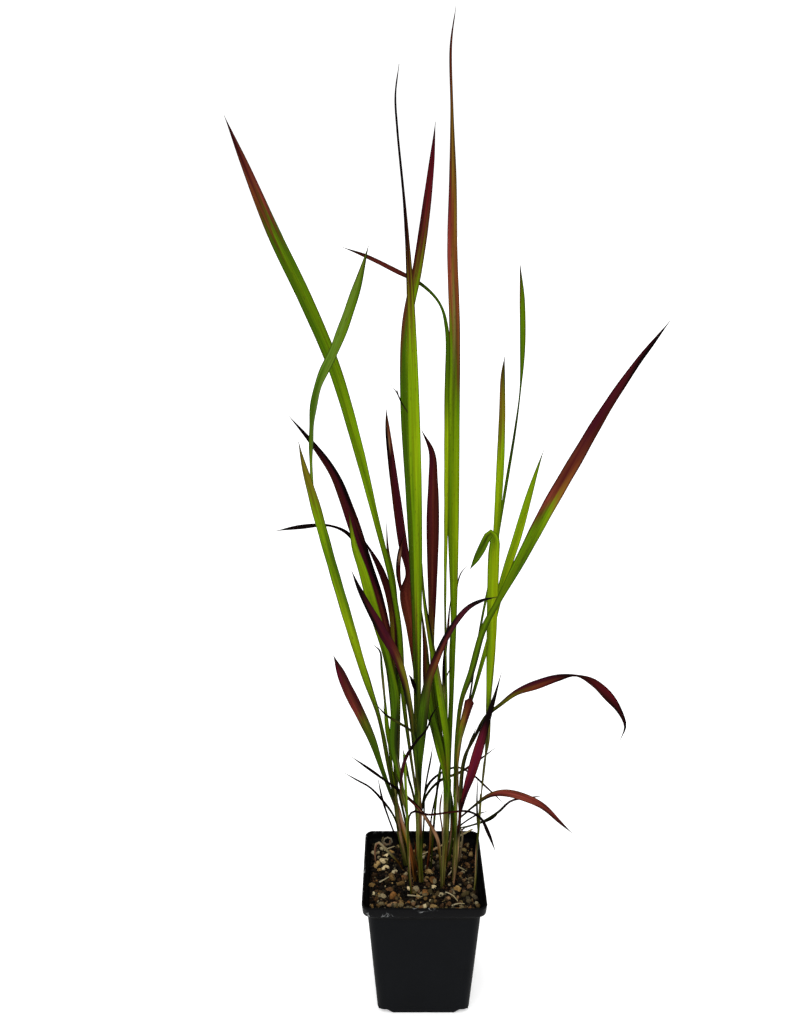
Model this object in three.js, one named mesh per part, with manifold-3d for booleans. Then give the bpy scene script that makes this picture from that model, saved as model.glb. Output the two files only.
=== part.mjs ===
// A potted Japanese blood grass: a clump of upright shoots with green and wine-red blades, in gritty soil,
// in a square plastic nursery pot. True size, in millimetres, +Z up. The origin lies on the ground under the
// middle of the pot, and the clump's front is on the -Y side.
import * as THREE from 'three';
import { mergeVertices } from 'three/addons/utils/BufferGeometryUtils.js';
import Module from 'manifold-3d';

const wasm = await Module();
wasm.setup();

// The pot, a thin moulded shell whose lip stands out round the top
const potWidth = 90;
const potHeight = 103;
const potWall = 1.4;
const potTopWidth = 82;
const potFootWidth = 68.5;
const potCorner = 6;
const potFloor = 2.4;
const lipHeight = 11;
const lipDraft = 0.6;
const lipChamfer = 3.5;

// Each corner of the pot's foot is raised over a drain, a recess with sloping sides and a hole in its roof
const drainWidth = 12;
const drainHeight = 3.6;
const drainSlope = 5;
const drainHole = 5;
const drainInset = 4.2;
const overcut = 1;

// The soil fills the pot to above the ledge inside the lip; clearance is the play between pieces that touch
const clearance = 0.3;
const soilLevel = 94.6;
const soilRelief = 0.5;
const soilEdge = 40.2;
const soilRings = 7;
const stemDepth = 24;
const leafDepth = 5;
const rootLean = 0.006;

// The larger pebbles on the soil: how far right and back each lies, and half its length
const pebbles = [
  [-30, 17, 3], [-35, 12.5, 3.1], [-29, 9, 2.6], [-24, -2, 3.4], [-21.5, 5, 2], [-14, -2, 2.5],
  [-17, -9, 2.9], [-25.5, -15, 2.6], [-22, -22, 3.2], [-31, -23, 2.9], [-37, -19, 1.8], [-38.5, -10, 2],
  [-17, -30.5, 2.4], [-22, -31, 2.2], [-37.5, -34, 2], [-31, -31, 2.2], [-11, -14.5, 1.8],
  [-5.5, -14.5, 2.3], [-3.5, -23, 2.3], [1, -18.5, 2.6], [-8, -28, 1.8], [0.5, -33, 2], [7, -33.5, 2.3],
  [7, -5, 2.8], [7.5, -12, 2.2], [3.5, -9, 1.9], [12, -21, 2.2], [4, 4, 2.5], [31, -20, 3],
  [25, -15.5, 2.8], [26, -29, 2.4], [32.5, -27, 1.9], [33, -35, 2.1], [25.5, -36, 1.8], [36, 37, 2.2],
  [30, 38.5, 2], [38, 26, 2.4], [32, 30.5, 2.3], [13, 38, 2], [12, 22.5, 2], [7, 17.5, 2.2],
  [-18, 35, 2.1], [-24, 28.5, 2.1], [-28, 24, 2], [34, 13.5, 2.3], [17.5, -30.5, 1.9], [-36, 27, 2],
  [-31, 38, 2.1], [29, 2, 2.3], [36, -4, 2], [-11.5, -35, 2], [19.5, 13, 2], [-6, 30, 2.1], [22, 24, 1.9],
  [-8, 17.5, 1.9], [2, 36.5, 2],
];
const pebbleHeight = 0.62;
const pebbleSunk = 0.2;

// The blades: shallow gutters, thickest along the midrib and steepest near the foot. A blade has a ring at
// each point of its way, and one halfway to the next where they are farther apart than ringLength or its
// way turns by more than ringBend degrees.
const ribThickness = 0.85;
const edgeThickness = 0.6;
const footSlope = 0.6;
const bladeSlope = 0.27;
const gutterShare = 0.4;
const faceLift = 0.5;
const leastWidth = 1.1;
const rootShare = 0.5;
const ringLength = 45;
const ringBend = 12;
const stemSides = 7;
const stemRings = 7;
const holeRings = 3;

// A leaf gives the points of its midrib, each with how far right, back and up it lies and how wide the blade
// is there, and the way its face is turned at foot, middle and tip in degrees from the front.
const leaf = (points, face = [0, 0, 0]) => ({ points, face });

// A shoot's stem is a roll of leaf sheaths: its thickness at the soil and at the top, and its way up from the
// soil. Its leaves part from it near the top.
const shoots = {
  shoot_left: {
    stem: {
      foot: 4.2,
      top: 3,
      points: [[-13, 13, 93], [-16, 12.5, 113], [-18.5, 12, 128], [-22, 10.5, 163]],
    },
    leaves: [
      leaf([[-20.5, 11, 147, 3], [-26.5, 6, 187, 2.4], [-33, 0, 230, 2.2], [-41, -7, 263, 4.6],
        [-52, -18, 313, 6.5], [-62, -29, 360, 6.4], [-71, -37, 403, 6.2], [-77, -40, 429, 2.6],
        [-79, -42, 441, 0]], [25, -8, -25]),
      leaf([[-20.5, 12, 147, 3], [-31, 10, 220, 3], [-58, 3, 326, 4], [-73, -6, 387, 4.5],
        [-74, -10, 430, 6.5], [-69, -15, 467, 7.4], [-55, -20, 498, 7.4], [-44, -22, 528, 5.8],
        [-36, -24, 555, 0]], [-40, -85, 10]),
      leaf([[-20, 11.5, 144, 3], [-24, 8, 160, 3.3], [-31, 2.5, 187, 3.6], [-37.3, -3, 213, 5.6],
        [-44.7, -10, 237, 7.1], [-53, -17, 261, 7.6], [-58, -22, 278, 5.4], [-62, -26, 291, 0]],
      [30, 0, -20]),
      leaf([[-17.5, 11.5, 124, 1.5], [-22.5, 8, 143, 1.5], [-30, 4, 158, 1.8], [-39.5, -1, 173, 1.4],
        [-48.5, -7, 183, 1.2], [-57.5, -13, 193, 0]]),
      leaf([[-15, 13, 106, 1.3], [-20.5, 13, 120, 1.3], [-26.5, 12, 139, 1.3], [-31, 10, 157, 1.6],
        [-34, 7, 177, 0]]),
    ],
  },
  shoot_left_back_red: {
    red: true,
    stem: {
      foot: 3.6,
      top: 2.8,
      points: [[-13, 18, 93], [-17, 17.5, 116], [-19.5, 17, 137], [-21.5, 16.5, 161]],
    },
    leaves: [
      leaf([[-20.5, 16.5, 150, 3], [-22, 16.5, 202, 3], [-24, 19, 270, 4.5], [-32, 26, 308, 6.5],
        [-42, 33, 336, 8.4], [-52, 41, 365, 8.8], [-64.7, 50, 396, 6.6], [-81, 60, 417, 3.8],
        [-98, 69, 435, 0]], [10, 5, 25]),
      leaf([[-20, 17.5, 150, 2], [-18.5, 20, 200, 2.2], [-19, 23, 272, 3], [-22, 26, 323, 3],
        [-26, 27, 347, 1.8], [-27, 29, 369, 0]], [0, 10, 0]),
      leaf([[-20.5, 16, 151, 2.5], [-21, 16.5, 206, 3], [-22, 18, 288, 4.4], [-25, 20, 314, 4.5],
        [-30, 21, 333, 3.6], [-41, 23, 352, 0]]),
      leaf([[-20.5, 18, 150, 2], [-26, 31, 244, 2], [-41, 50, 319, 2.6], [-54, 58, 347, 3],
        [-69, 61, 354, 1.8], [-91, 61, 353, 3.4], [-109, 58, 351, 0]]),
    ],
  },
  shoot_front_left: {
    stem: {
      foot: 2.8,
      top: 2.5,
      points: [[-9, -21, 93], [-11, -21, 124], [-12.5, -21, 166], [-14.5, -21, 212]],
    },
    leaves: [
      leaf([[-12.5, -21, 164, 3.2], [-17.5, -21, 194, 4], [-22, -23, 221, 5], [-21, -25, 257, 6.2],
        [-26, -28, 289, 5], [-35, -34, 329, 6.8], [-41, -39, 356, 5.7], [-46, -43, 375, 3.9],
        [-49, -46, 398, 0]], [0, 10, -20]),
      leaf([[-13, -21, 176, 1.8], [-20.5, -21.5, 205, 3.2], [-26, -22, 230, 3.6], [-28, -24, 257, 1.8],
        [-30, -25, 281, 2.2], [-31, -26, 294, 1.4], [-35, -29, 300, 0]], [0, 30, 60]),
      leaf([[-11, -21, 124, 1.3], [-11.5, -23.5, 149, 1.3], [-10.5, -25.5, 167, 1.4],
        [-7.5, -26, 170, 1.6], [2.5, -27, 168, 1.5], [18, -27, 170, 1.4], [30.5, -26, 170, 1.5],
        [39.5, -25, 164, 1.8], [45.5, -24, 151, 2.6], [51.5, -23, 134, 0]]),
      leaf([[-12.5, -21, 164, 2], [-17, -23.5, 182, 2.4], [-16.5, -25, 199, 3], [-13.5, -26, 213, 3.2],
        [-6, -27, 227, 2], [1, -28, 237, 1.5], [4, -28, 247, 1.2], [8, -28, 254, 0]], [60, 0, 30]),
    ],
  },
  shoot_centre: {
    stem: {
      foot: 4.2,
      top: 3.2,
      points: [[-2.5, 0, 93], [-3.5, 0.5, 118], [-4.5, 1, 148], [-5.5, 1.5, 171]],
    },
    leaves: [
      leaf([[-5, 1, 161, 3], [-10.5, 1, 203, 2.4], [-15, 3, 242, 3.3], [-18, 7, 295, 3.8],
        [-24, 12, 332, 3.6], [-34, 22, 371, 4.4], [-46, 36, 417, 7.2], [-63, 55, 471, 8.9],
        [-83, 70, 516, 10], [-105, 86, 559, 9.7], [-126, 102, 606, 5.7], [-141, 113, 640, 0]], [15, -10, 0]),
      leaf([[-4.5, 1, 161, 3.2], [-4, -6, 215, 2.8], [-5, -14, 282, 4], [-6, -24, 358, 6],
        [-8, -31, 420, 7.8], [-10, -38, 484, 6.6], [-12, -43, 536, 4], [-15, -48, 577, 1.7],
        [-19, -52, 616, 1.2], [-20, -53, 633, 1], [-18, -55, 648, 0]], [0, 0, 20]),
      leaf([[-5, 2, 160, 3], [-6, 6, 224, 3], [-8, 12, 308, 3], [-11, 18, 386, 5], [-14, 26, 454, 6.8],
        [-13, 32, 503, 6.6], [-6, 36, 539, 6.5], [-1, 40, 572, 5.9], [3, 42, 606, 3.4], [5, 44, 629, 0]],
      [10, 0, -10]),
    ],
  },
  shoot_centre_front_red: {
    red: true,
    stem: {
      foot: 4.4,
      top: 3.8,
      points: [[-1.5, -6, 93], [-2.5, -6.5, 121], [-3, -7, 154], [-4, -7.5, 179]],
    },
    leaves: [
      leaf([[-3.5, -7, 162, 4.2], [-4, -10, 197, 5.5], [-2, -19, 235, 7], [1, -30, 271, 5.8],
        [7, -40, 297, 5], [14, -50, 319, 4], [24, -64, 341, 3.3], [32, -73, 350, 2], [40, -82, 356, 0]],
      [0, -10, -30]),
      leaf([[-3.5, -7.5, 167, 3], [-7, -14, 211, 3.4], [-11, -25, 253, 4], [-19, -38, 294, 5.6],
        [-28, -46, 316, 6.4], [-36, -53, 335, 4.8], [-43, -59, 353, 2.7], [-47, -64, 366, 0]], [10, 0, -10]),
      leaf([[-4.5, -10.5, 204, 1.2], [-10, -14, 229, 1.6], [-18, -15, 234, 1.8], [-29, -16, 242, 1.2],
        [-35, -16, 250, 0]]),
    ],
  },
  shoot_centre_back_red: {
    red: true,
    stem: {
      foot: 3.8,
      top: 2.8,
      points: [[-1.5, 5.5, 93], [-2, 6, 118], [-3, 6.5, 147], [-3.5, 7, 165]],
    },
    leaves: [
      leaf([[-3, 6.5, 153, 3], [-3.5, 11, 205, 3.4], [-5, 16, 251, 4.5], [-9, 19, 289, 7.5],
        [-14, 23, 320, 9], [-15, 26, 347, 7.6], [-19.3, 29, 376, 6.7], [-24, 35, 412, 5.2],
        [-26, 36, 431, 3.4], [-27, 38, 446, 0]], [0, 0, 10]),
      leaf([[-15, 23, 315, 2.2], [-19, 22, 331, 3.4], [-18, 22, 347, 1.8], [-15, 22, 362, 0]], [60, 20, 0]),
      leaf([[-2.5, 6.5, 142, 1.5], [2.5, 9, 160, 1.8], [12.5, 11, 171, 2], [26.5, 12, 177, 2],
        [40, 12, 187, 1.6], [54, 12, 199, 0]]),
      leaf([[-2.5, 7, 144, 1.5], [3.5, 10, 168, 2], [12.5, 14, 175, 1.6], [25, 16, 179, 1.5],
        [36.5, 16, 173, 1.4], [47, 15, 163, 1.5], [61.5, 13, 149, 0]]),
    ],
  },
  shoot_right_centre: {
    stem: {
      foot: 4.6,
      top: 3.8,
      points: [[14, -10.5, 93], [15.5, -10, 121], [17, -9.5, 143], [18, -8.5, 184]],
    },
    leaves: [
      leaf([[18, -8.5, 174, 2.2], [18.5, -4, 214, 2.4], [20, 4, 273, 2.8], [20, 10, 316, 5],
        [19, 19, 379, 8.2], [19, 29, 440, 8], [19, 38, 499, 7.4], [17, 45, 550, 6.9], [17, 52, 594, 5],
        [16, 57, 637, 2.1], [15, 62, 676, 1.6], [18, 65, 699, 0]]),
      leaf([[17.5, -9, 175, 1.4], [15, -2, 253, 1.6], [13, 7, 318, 2], [13, 17, 387, 3.4],
        [13, 29, 454, 3.4], [13, 38, 500, 3], [9, 43, 516, 1.8], [-3, 48, 528, 2.4], [-21, 52, 537, 3],
        [-40, 55, 546, 2.4], [-56, 56, 552, 0]], [60, 0, 20]),
      leaf([[17.5, -9.5, 175, 3], [16, -9.5, 213, 4.3], [12, -10, 243, 5], [8, -9, 268, 4.7],
        [3, -8, 297, 3.6], [-1, -6, 323, 2.2], [-3, -4, 354, 0]]),
    ],
  },
  shoot_right_centre_back_red: {
    red: true,
    stem: {
      foot: 3.8,
      top: 3,
      points: [[13.5, -4.5, 93], [15, -4, 121], [15.5, -3.5, 143], [15.5, -2.5, 180]],
    },
    leaves: [
      leaf([[15.5, -2.5, 170, 3.6], [13.5, -1, 196, 3.6], [11, 1, 219, 3.6], [7, 3, 246, 3.4],
        [5, 7, 283, 3.4], [5, 11, 323, 6.2], [5, 16, 373, 8.8], [5, 19, 400, 6.6], [4, 22, 419, 4.2],
        [-3, 24, 434, 0]]),
      leaf([[15.5, -3, 171, 4], [12, -3, 200, 6.2], [8, -3, 217, 6.2], [3, -2, 241, 6],
        [1, -1, 266, 5.6], [0, 0, 286, 3.5], [-3, 2, 316, 0]], [0, 20, 0]),
      leaf([[16, -2, 170, 1.5], [14, 4, 241, 3], [14, 8, 271, 2.6], [16, 11, 291, 2],
        [17, 12, 306, 1.3], [18, 14, 315, 0]], [0, 20, 40]),
    ],
  },
  shoot_right: {
    stem: {
      foot: 3.2,
      top: 2.8,
      points: [[21.5, -4, 93], [23, -3, 116], [23.5, -2, 142], [22.5, -1, 175]],
    },
    leaves: [
      leaf([[22.5, -1, 165, 3], [23, -6, 211, 3], [25, -15, 250, 3.2], [30, -27, 279, 4.2],
        [36, -38, 316, 4.8], [44, -44, 338, 5.5], [56, -52, 367, 7.4], [71, -62, 405, 8.3],
        [85, -71, 438, 7.8], [98, -79, 468, 5.9], [111, -87, 494, 3.5], [119, -92, 508, 1.4],
        [125, -95, 518, 0]], [-20, -10, -30]),
      leaf([[22.5, 0, 166, 2], [26, 4.5, 213, 2], [34.3, 7, 243, 1.8], [40.5, 9, 269, 2.2],
        [46, 11, 291, 2.7], [54, 13, 328, 5], [63, 15, 360, 5.9], [70, 18, 387, 4.6],
        [75, 20, 405, 2.4], [80, 22, 421, 0]]),
      leaf([[23, 0.5, 166, 1.7], [25.5, 7.5, 211, 1.7], [33, 14, 238, 1.4], [37, 18, 270, 1.5],
        [42, 22, 302, 1.8], [48, 26, 333, 2], [52, 30, 361, 2], [57, 34, 396, 2.2], [62, 38, 431, 1.7],
        [65, 42, 458, 1.2], [66, 46, 485, 3.6], [65, 50, 518, 3.6], [63, 54, 543, 0]]),
    ],
  },
  shoot_right_front_red: {
    red: true,
    stem: {
      foot: 3.6,
      top: 2.8,
      points: [[22.5, -9.5, 93], [24.5, -10, 115], [25, -11, 137], [26.5, -13, 170]],
    },
    leaves: [
      leaf([[26, -12, 160, 3.6], [29.5, -15, 180, 5], [33.5, -18, 198, 6.6], [37, -21, 216, 7],
        [40, -24, 232, 5.6], [44, -27, 251, 3.8], [47, -30, 266, 1.9], [50, -33, 282, 0]], [0, 0, 20]),
      leaf([[25.5, -11.5, 157, 2.2], [26, -6, 178, 2.2], [29, -1, 198, 2.2], [36, 2, 212, 2.4],
        [44, 4, 228, 2.6], [54, 2, 239, 2.7], [64, -3, 251, 4.2], [78, -11, 262, 6.5],
        [91, -17, 270, 4.8], [102, -24, 275, 1.5], [112, -30, 273, 5.4], [121, -36, 266, 6.8],
        [128, -41, 258, 4], [132, -44, 248, 1.7], [129, -46, 239, 0]], [0, 20, 10]),
      leaf([[25.5, -12, 157, 2.6], [23.5, -13, 187, 3.2], [23.5, -14, 212, 3.9], [26, -16, 231, 5.4],
        [29, -20, 248, 5.7], [30.6, -20.8, 255.5, 5.2], [31, -21, 257, 0]]),
      leaf([[26, -12, 155, 2], [29, -18.5, 163, 1.8], [35, -25, 174, 1.7], [45, -33, 188, 3.1],
        [55.5, -41, 195, 4.9], [67, -47, 195.5, 5.3], [78.5, -53.5, 193, 4.2], [89.5, -60, 185, 2.2],
        [97, -65, 180, 0]]),
      leaf([[25.5, -11.5, 146, 1.4], [33.5, -9, 146, 1.5], [43, -8, 149, 1.5], [54, -7, 156, 1.8],
        [63.5, -6, 165, 1.5], [77, -5, 167, 1.4], [87, -4, 168, 0]]),
    ],
  },
  shoot_far_right: {
    stem: {
      foot: 2.8,
      top: 2.4,
      points: [[37.5, -15.5, 93], [38.5, -15, 129], [39.5, -15, 147], [40.5, -15, 176]],
    },
    leaves: [
      leaf([[40.5, -15, 170, 2.2], [42, -13, 199, 1.8], [45, -11, 218, 1.8], [45, -8, 248, 2.8],
        [46, -4, 285, 5.4], [46, 1, 320, 5.4], [48, 8, 368, 4.4], [50, 16, 408, 5.3],
        [51, 23, 444, 4.4], [51, 26, 471, 2.8], [52, 28, 483, 0]], [20, 0, 0]),
      leaf([[40, -16, 171, 2.2], [42.5, -17.5, 206, 2], [43, -19, 254, 2.8], [44, -18, 299, 6.5],
        [44, -17, 338, 7.5], [44, -17, 359, 7.5], [44, -18, 370, 7], [41, -20, 375, 6.6],
        [35, -24, 365, 6.2], [31.5, -25.5, 358.5, 5.2], [28, -27, 353, 0]]),
      leaf([[39.5, -15, 142, 1.6], [38, -13, 166, 1.4], [38, -12, 188, 0]]),
    ],
  },
};

// Dead pieces that stand in the soil by themselves: a long straw-coloured leaf, a brown sheath and a leaf
// that has folded over with both ends on the soil
const deadLeaves = {
  dead_leaf_long: leaf([[13, -16, 93, 2.4], [12, -15, 119, 2.7], [10, -14.5, 138, 3.2],
    [4, -14, 151, 2.7], [-4, -13.5, 164, 2.3], [-17, -12.5, 177, 2], [-27, -12, 185, 1.5],
    [-39, -12, 195, 2], [-53, -12, 206, 0]]),
  dead_sheath: leaf([[-6, -5.5, 93, 3.4], [-8, -4.5, 113, 3.7], [-11.5, -2, 127, 3.5], [-16, 2, 141, 3],
    [-19, 4, 157, 0]], [-20, -10, 0]),
  dead_leaf_folded: leaf([[-15, 8, 93, 2.2], [-18, 8.5, 100, 2.5], [-26, 8.5, 110, 2.9],
    [-34.5, 8.5, 119, 3], [-36.5, 9, 112, 2.6], [-36, 9.5, 99, 1.1]]),
};

// A loose stalk of straw, one end on the soil and the other on the back of the pot's lip
const stalk = { thickness: 1.6, points: [[7, 27, 97], [22, 35, 100.5], [40, 44.5, 104.3]] };

const materials = {
  pot: new THREE.MeshStandardMaterial({ color: '#17181a', roughness: 0.45, metalness: 0 }),
  soil: new THREE.MeshStandardMaterial({ color: '#3b3027', roughness: 0.95, metalness: 0 }),
  green: new THREE.MeshStandardMaterial({ color: '#6a8a1c', roughness: 0.5, metalness: 0 }),
  red: new THREE.MeshStandardMaterial({ color: '#5c1c28', roughness: 0.5, metalness: 0 }),
  straw: new THREE.MeshStandardMaterial({ color: '#a08258', roughness: 0.8, metalness: 0 }),
};

const vectors = (points) => points.map(([x, y, z]) => new THREE.Vector3(x, y, z));

// A closed body from its corners and its triangles, with its faces turned outwards
function closedBody(corners, triangles) {
  const geometry = new THREE.BufferGeometry();
  const places = corners.flatMap((point) => point.toArray());
  geometry.setAttribute('position', new THREE.Float32BufferAttribute(places, 3));
  const volume = triangles.reduce((sum, [a, b, c]) => {
    const normal = new THREE.Vector3().crossVectors(corners[b], corners[c]);
    return sum + corners[a].dot(normal);
  }, 0);
  geometry.setIndex(triangles.flatMap(([a, b, c]) => (volume > 0 ? [a, b, c] : [a, c, b])));
  return geometry;
}

// A skin over a row of rings with as many corners each. Each end closes on one point. The sides listed in
// turned are split along their other diagonal.
function loft(rings, first, last, turned = []) {
  const sides = rings[0].length;
  const corners = [...rings.flat(), first, last];
  const triangles = [];
  for (let side = 0; side < sides; side += 1) {
    const next = (side + 1) % sides;
    for (let ring = 0; ring + 1 < rings.length; ring += 1) {
      const [a, b] = [ring * sides + side, ring * sides + next];
      const [c, d] = [b + sides, a + sides];
      if (turned.includes(side)) triangles.push([a, b, d], [b, c, d]);
      else triangles.push([a, b, c], [a, c, d]);
    }
    const end = (rings.length - 1) * sides;
    triangles.push([corners.length - 2, next, side], [corners.length - 1, end + side, end + next]);
  }
  return closedBody(corners, triangles);
}

function toSolid(geometry) {
  const merged = mergeVertices(geometry, 1e-4);
  const vertProperties = new Float32Array(merged.attributes.position.array);
  const triVerts = new Uint32Array(merged.index.array);
  return new wasm.Manifold(new wasm.Mesh({ numProp: 3, vertProperties, triVerts }));
}

// The largest body in a joined solid, so that no sealed hollow or loose scrap stays in it
function toGeometry(solid) {
  const mesh = solid.getMesh();
  const corners = [];
  for (let i = 0; i < mesh.vertProperties.length; i += 3) {
    corners.push(new THREE.Vector3(...mesh.vertProperties.slice(i, i + 3)));
  }
  const root = corners.map((_, i) => i);
  const find = (i) => {
    while (root[i] !== i) {
      root[i] = root[root[i]];
      i = root[i];
    }
    return i;
  };
  const triangles = [];
  for (let i = 0; i < mesh.triVerts.length; i += 3) {
    const triangle = [...mesh.triVerts.slice(i, i + 3)];
    triangles.push(triangle);
    root[find(triangle[1])] = find(triangle[0]);
    root[find(triangle[2])] = find(triangle[0]);
  }
  const volumes = new Map();
  for (const [a, b, c] of triangles) {
    const normal = new THREE.Vector3().crossVectors(corners[b], corners[c]);
    volumes.set(find(a), (volumes.get(find(a)) ?? 0) + corners[a].dot(normal));
  }
  const largest = [...volumes].sort((p, q) => q[1] - p[1])[0][0];
  const kept = triangles.filter(([a]) => find(a) === largest);
  const used = [...new Set(kept.flat())];
  const place = new Map(used.map((corner, i) => [corner, i]));
  const faces = kept.map((triangle) => triangle.map((corner) => place.get(corner)));
  return closedBody(used.map((corner) => corners[corner]), faces);
}

const joined = (geometries) => toGeometry(geometries.map(toSolid).reduce((sum, solid) => sum.add(solid)));

function cut(geometry, tools) {
  return toGeometry(tools.map(toSolid).reduce((sum, tool) => sum.subtract(tool), toSolid(geometry)));
}

function box(width, depth, height, x, y, z) {
  const geometry = new THREE.BoxGeometry(width, depth, height).translate(x, y, z + height / 2);
  geometry.deleteAttribute('normal');
  geometry.deleteAttribute('uv');
  return geometry;
}

function post(radius, height, x, y, z) {
  const geometry = new THREE.CylinderGeometry(radius, radius, height, 16);
  geometry.rotateX(Math.PI / 2).translate(x, y, z + height / 2);
  geometry.deleteAttribute('normal');
  geometry.deleteAttribute('uv');
  return geometry;
}

// A level ring round a square with rounded corners
function squareRing(half, corner, z) {
  const steps = 5;
  const ring = [];
  for (let quarter = 0; quarter < 4; quarter += 1) {
    for (let step = 0; step <= steps; step += 1) {
      const angle = (quarter + step / steps) * Math.PI / 2;
      const middle = (quarter + 0.5) * Math.PI / 2;
      const x = Math.sign(Math.cos(middle)) * (half - corner) + corner * Math.cos(angle);
      const y = Math.sign(Math.sin(middle)) * (half - corner) + corner * Math.sin(angle);
      ring.push(new THREE.Vector3(x, y, z));
    }
  }
  return ring;
}

const bodyHalf = (z) => THREE.MathUtils.mapLinear(z, 0, potHeight - lipHeight, potFootWidth, potTopWidth) / 2;
const bodyTop = potHeight - lipHeight;
const ledge = bodyTop + potWall;
const lipInside = potWidth / 2 - lipDraft - potWall;
const quarters = [[-1, -1], [1, -1], [1, 1], [-1, 1]];

function makePot() {
  const shell = loft([
    squareRing(bodyHalf(0), potCorner - 1, 0),
    squareRing(bodyHalf(bodyTop), potCorner, bodyTop),
    squareRing(potWidth / 2 - lipDraft, potCorner, bodyTop + lipChamfer),
    squareRing(potWidth / 2, potCorner, potHeight),
    squareRing(potWidth / 2 - potWall, potCorner - potWall, potHeight),
    squareRing(lipInside, potCorner - potWall, ledge + lipChamfer),
    squareRing(bodyHalf(ledge) - potWall, potCorner - potWall, ledge),
    squareRing(bodyHalf(potFloor) - potWall, potCorner - 1 - potWall, potFloor),
  ], new THREE.Vector3(0, 0, 0), new THREE.Vector3(0, 0, potFloor));
  const pad = drainWidth + potWall;
  const padPlace = bodyHalf(0) - potWall / 2 - pad / 2;
  const pads = quarters.map(([x, y]) => box(pad, pad, drainHeight, x * padPlace, y * padPlace, potWall));
  const corner = potFootWidth / 2;
  const low = drainWidth + drainSlope * overcut / drainHeight;
  const recess = [squareRing(low, 1, -overcut), squareRing(drainWidth - drainSlope, 1, drainHeight)];
  const middles = [new THREE.Vector3(0, 0, -overcut), new THREE.Vector3(0, 0, drainHeight)];
  const hole = corner - drainInset;
  const drains = quarters.flatMap(([x, y]) => [
    loft(recess, ...middles).translate(x * corner, y * corner, 0),
    post(drainHole / 2, 2 * drainHeight, x * hole, y * hole, overcut),
  ]);
  return cut(joined([shell, ...pads]), drains);
}

const soilHeight = (x, y) => soilLevel + soilRelief / 2 * (
  Math.sin(0.21 * x + 0.4) * Math.cos(0.26 * y) + Math.sin(0.13 * y - 0.17 * x + 1));

// Below the soil a foot leans in towards the middle of the pot
function rootPoint([x, y, z, width], depth) {
  const share = 1 - rootLean * depth;
  return [x * share, y * share, z - depth, width];
}

// The feet that stand in the soil: their way, how thick and how deep
const feet = [
  ...Object.values(shoots).map(({ stem }) => ({ way: stem.points, thickness: stem.foot, depth: stemDepth })),
  ...Object.values(deadLeaves).map(({ points }) => (
    { way: points, thickness: points[1][3], depth: leafDepth })),
];

// A pebble is a blunt lump, flatter than it is wide, turned and tipped a little
function makePebble([x, y, size], i) {
  const stone = new THREE.IcosahedronGeometry(size, 0);
  stone.deleteAttribute('normal');
  stone.deleteAttribute('uv');
  stone.scale(1, 0.7 + 0.2 * Math.sin(3.1 * i), pebbleHeight);
  stone.rotateX(0.3 * Math.sin(5 * i)).rotateZ(1.7 * i);
  return stone.translate(x, y, soilHeight(x, y) + pebbleSunk * size);
}

function makeSoil() {
  const bottom = potFloor + clearance;
  const shelf = ledge + clearance;
  const inset = potWall + clearance;
  const rings = [
    squareRing(bodyHalf(bottom) - inset, potCorner - 1 - inset, bottom),
    squareRing(bodyHalf(bodyTop) - inset, potCorner - inset, shelf),
  ];
  for (let i = 0; i < soilRings; i += 1) {
    const share = 1 - i / soilRings;
    const ring = squareRing(soilEdge * share, (potCorner - inset) * share, 0);
    ring.forEach((point) => point.setZ(soilHeight(point.x, point.y)));
    rings.push(ring);
  }
  const body = loft(rings, new THREE.Vector3(0, 0, bottom), new THREE.Vector3(0, 0, soilHeight(0, 0)));
  const pad = drainWidth + potWall + 2 * clearance;
  const padPlace = bodyHalf(0) - potWall / 2 - (drainWidth + potWall) / 2;
  const padTop = potWall + drainHeight + clearance;
  const recesses = quarters.map(([x, y]) => (
    box(pad, pad, padTop + overcut, x * padPlace, y * padPlace, -overcut)));
  const holes = feet.map(({ way, thickness, depth }) => {
    const hole = thickness + 4 * clearance;
    return makeStem({ foot: hole, top: hole, points: way.slice(0, 2) }, depth + 2 * clearance, holeRings);
  });
  return cut(joined([body, ...pebbles.map(makePebble)]), [...recesses, ...holes]);
}

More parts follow.
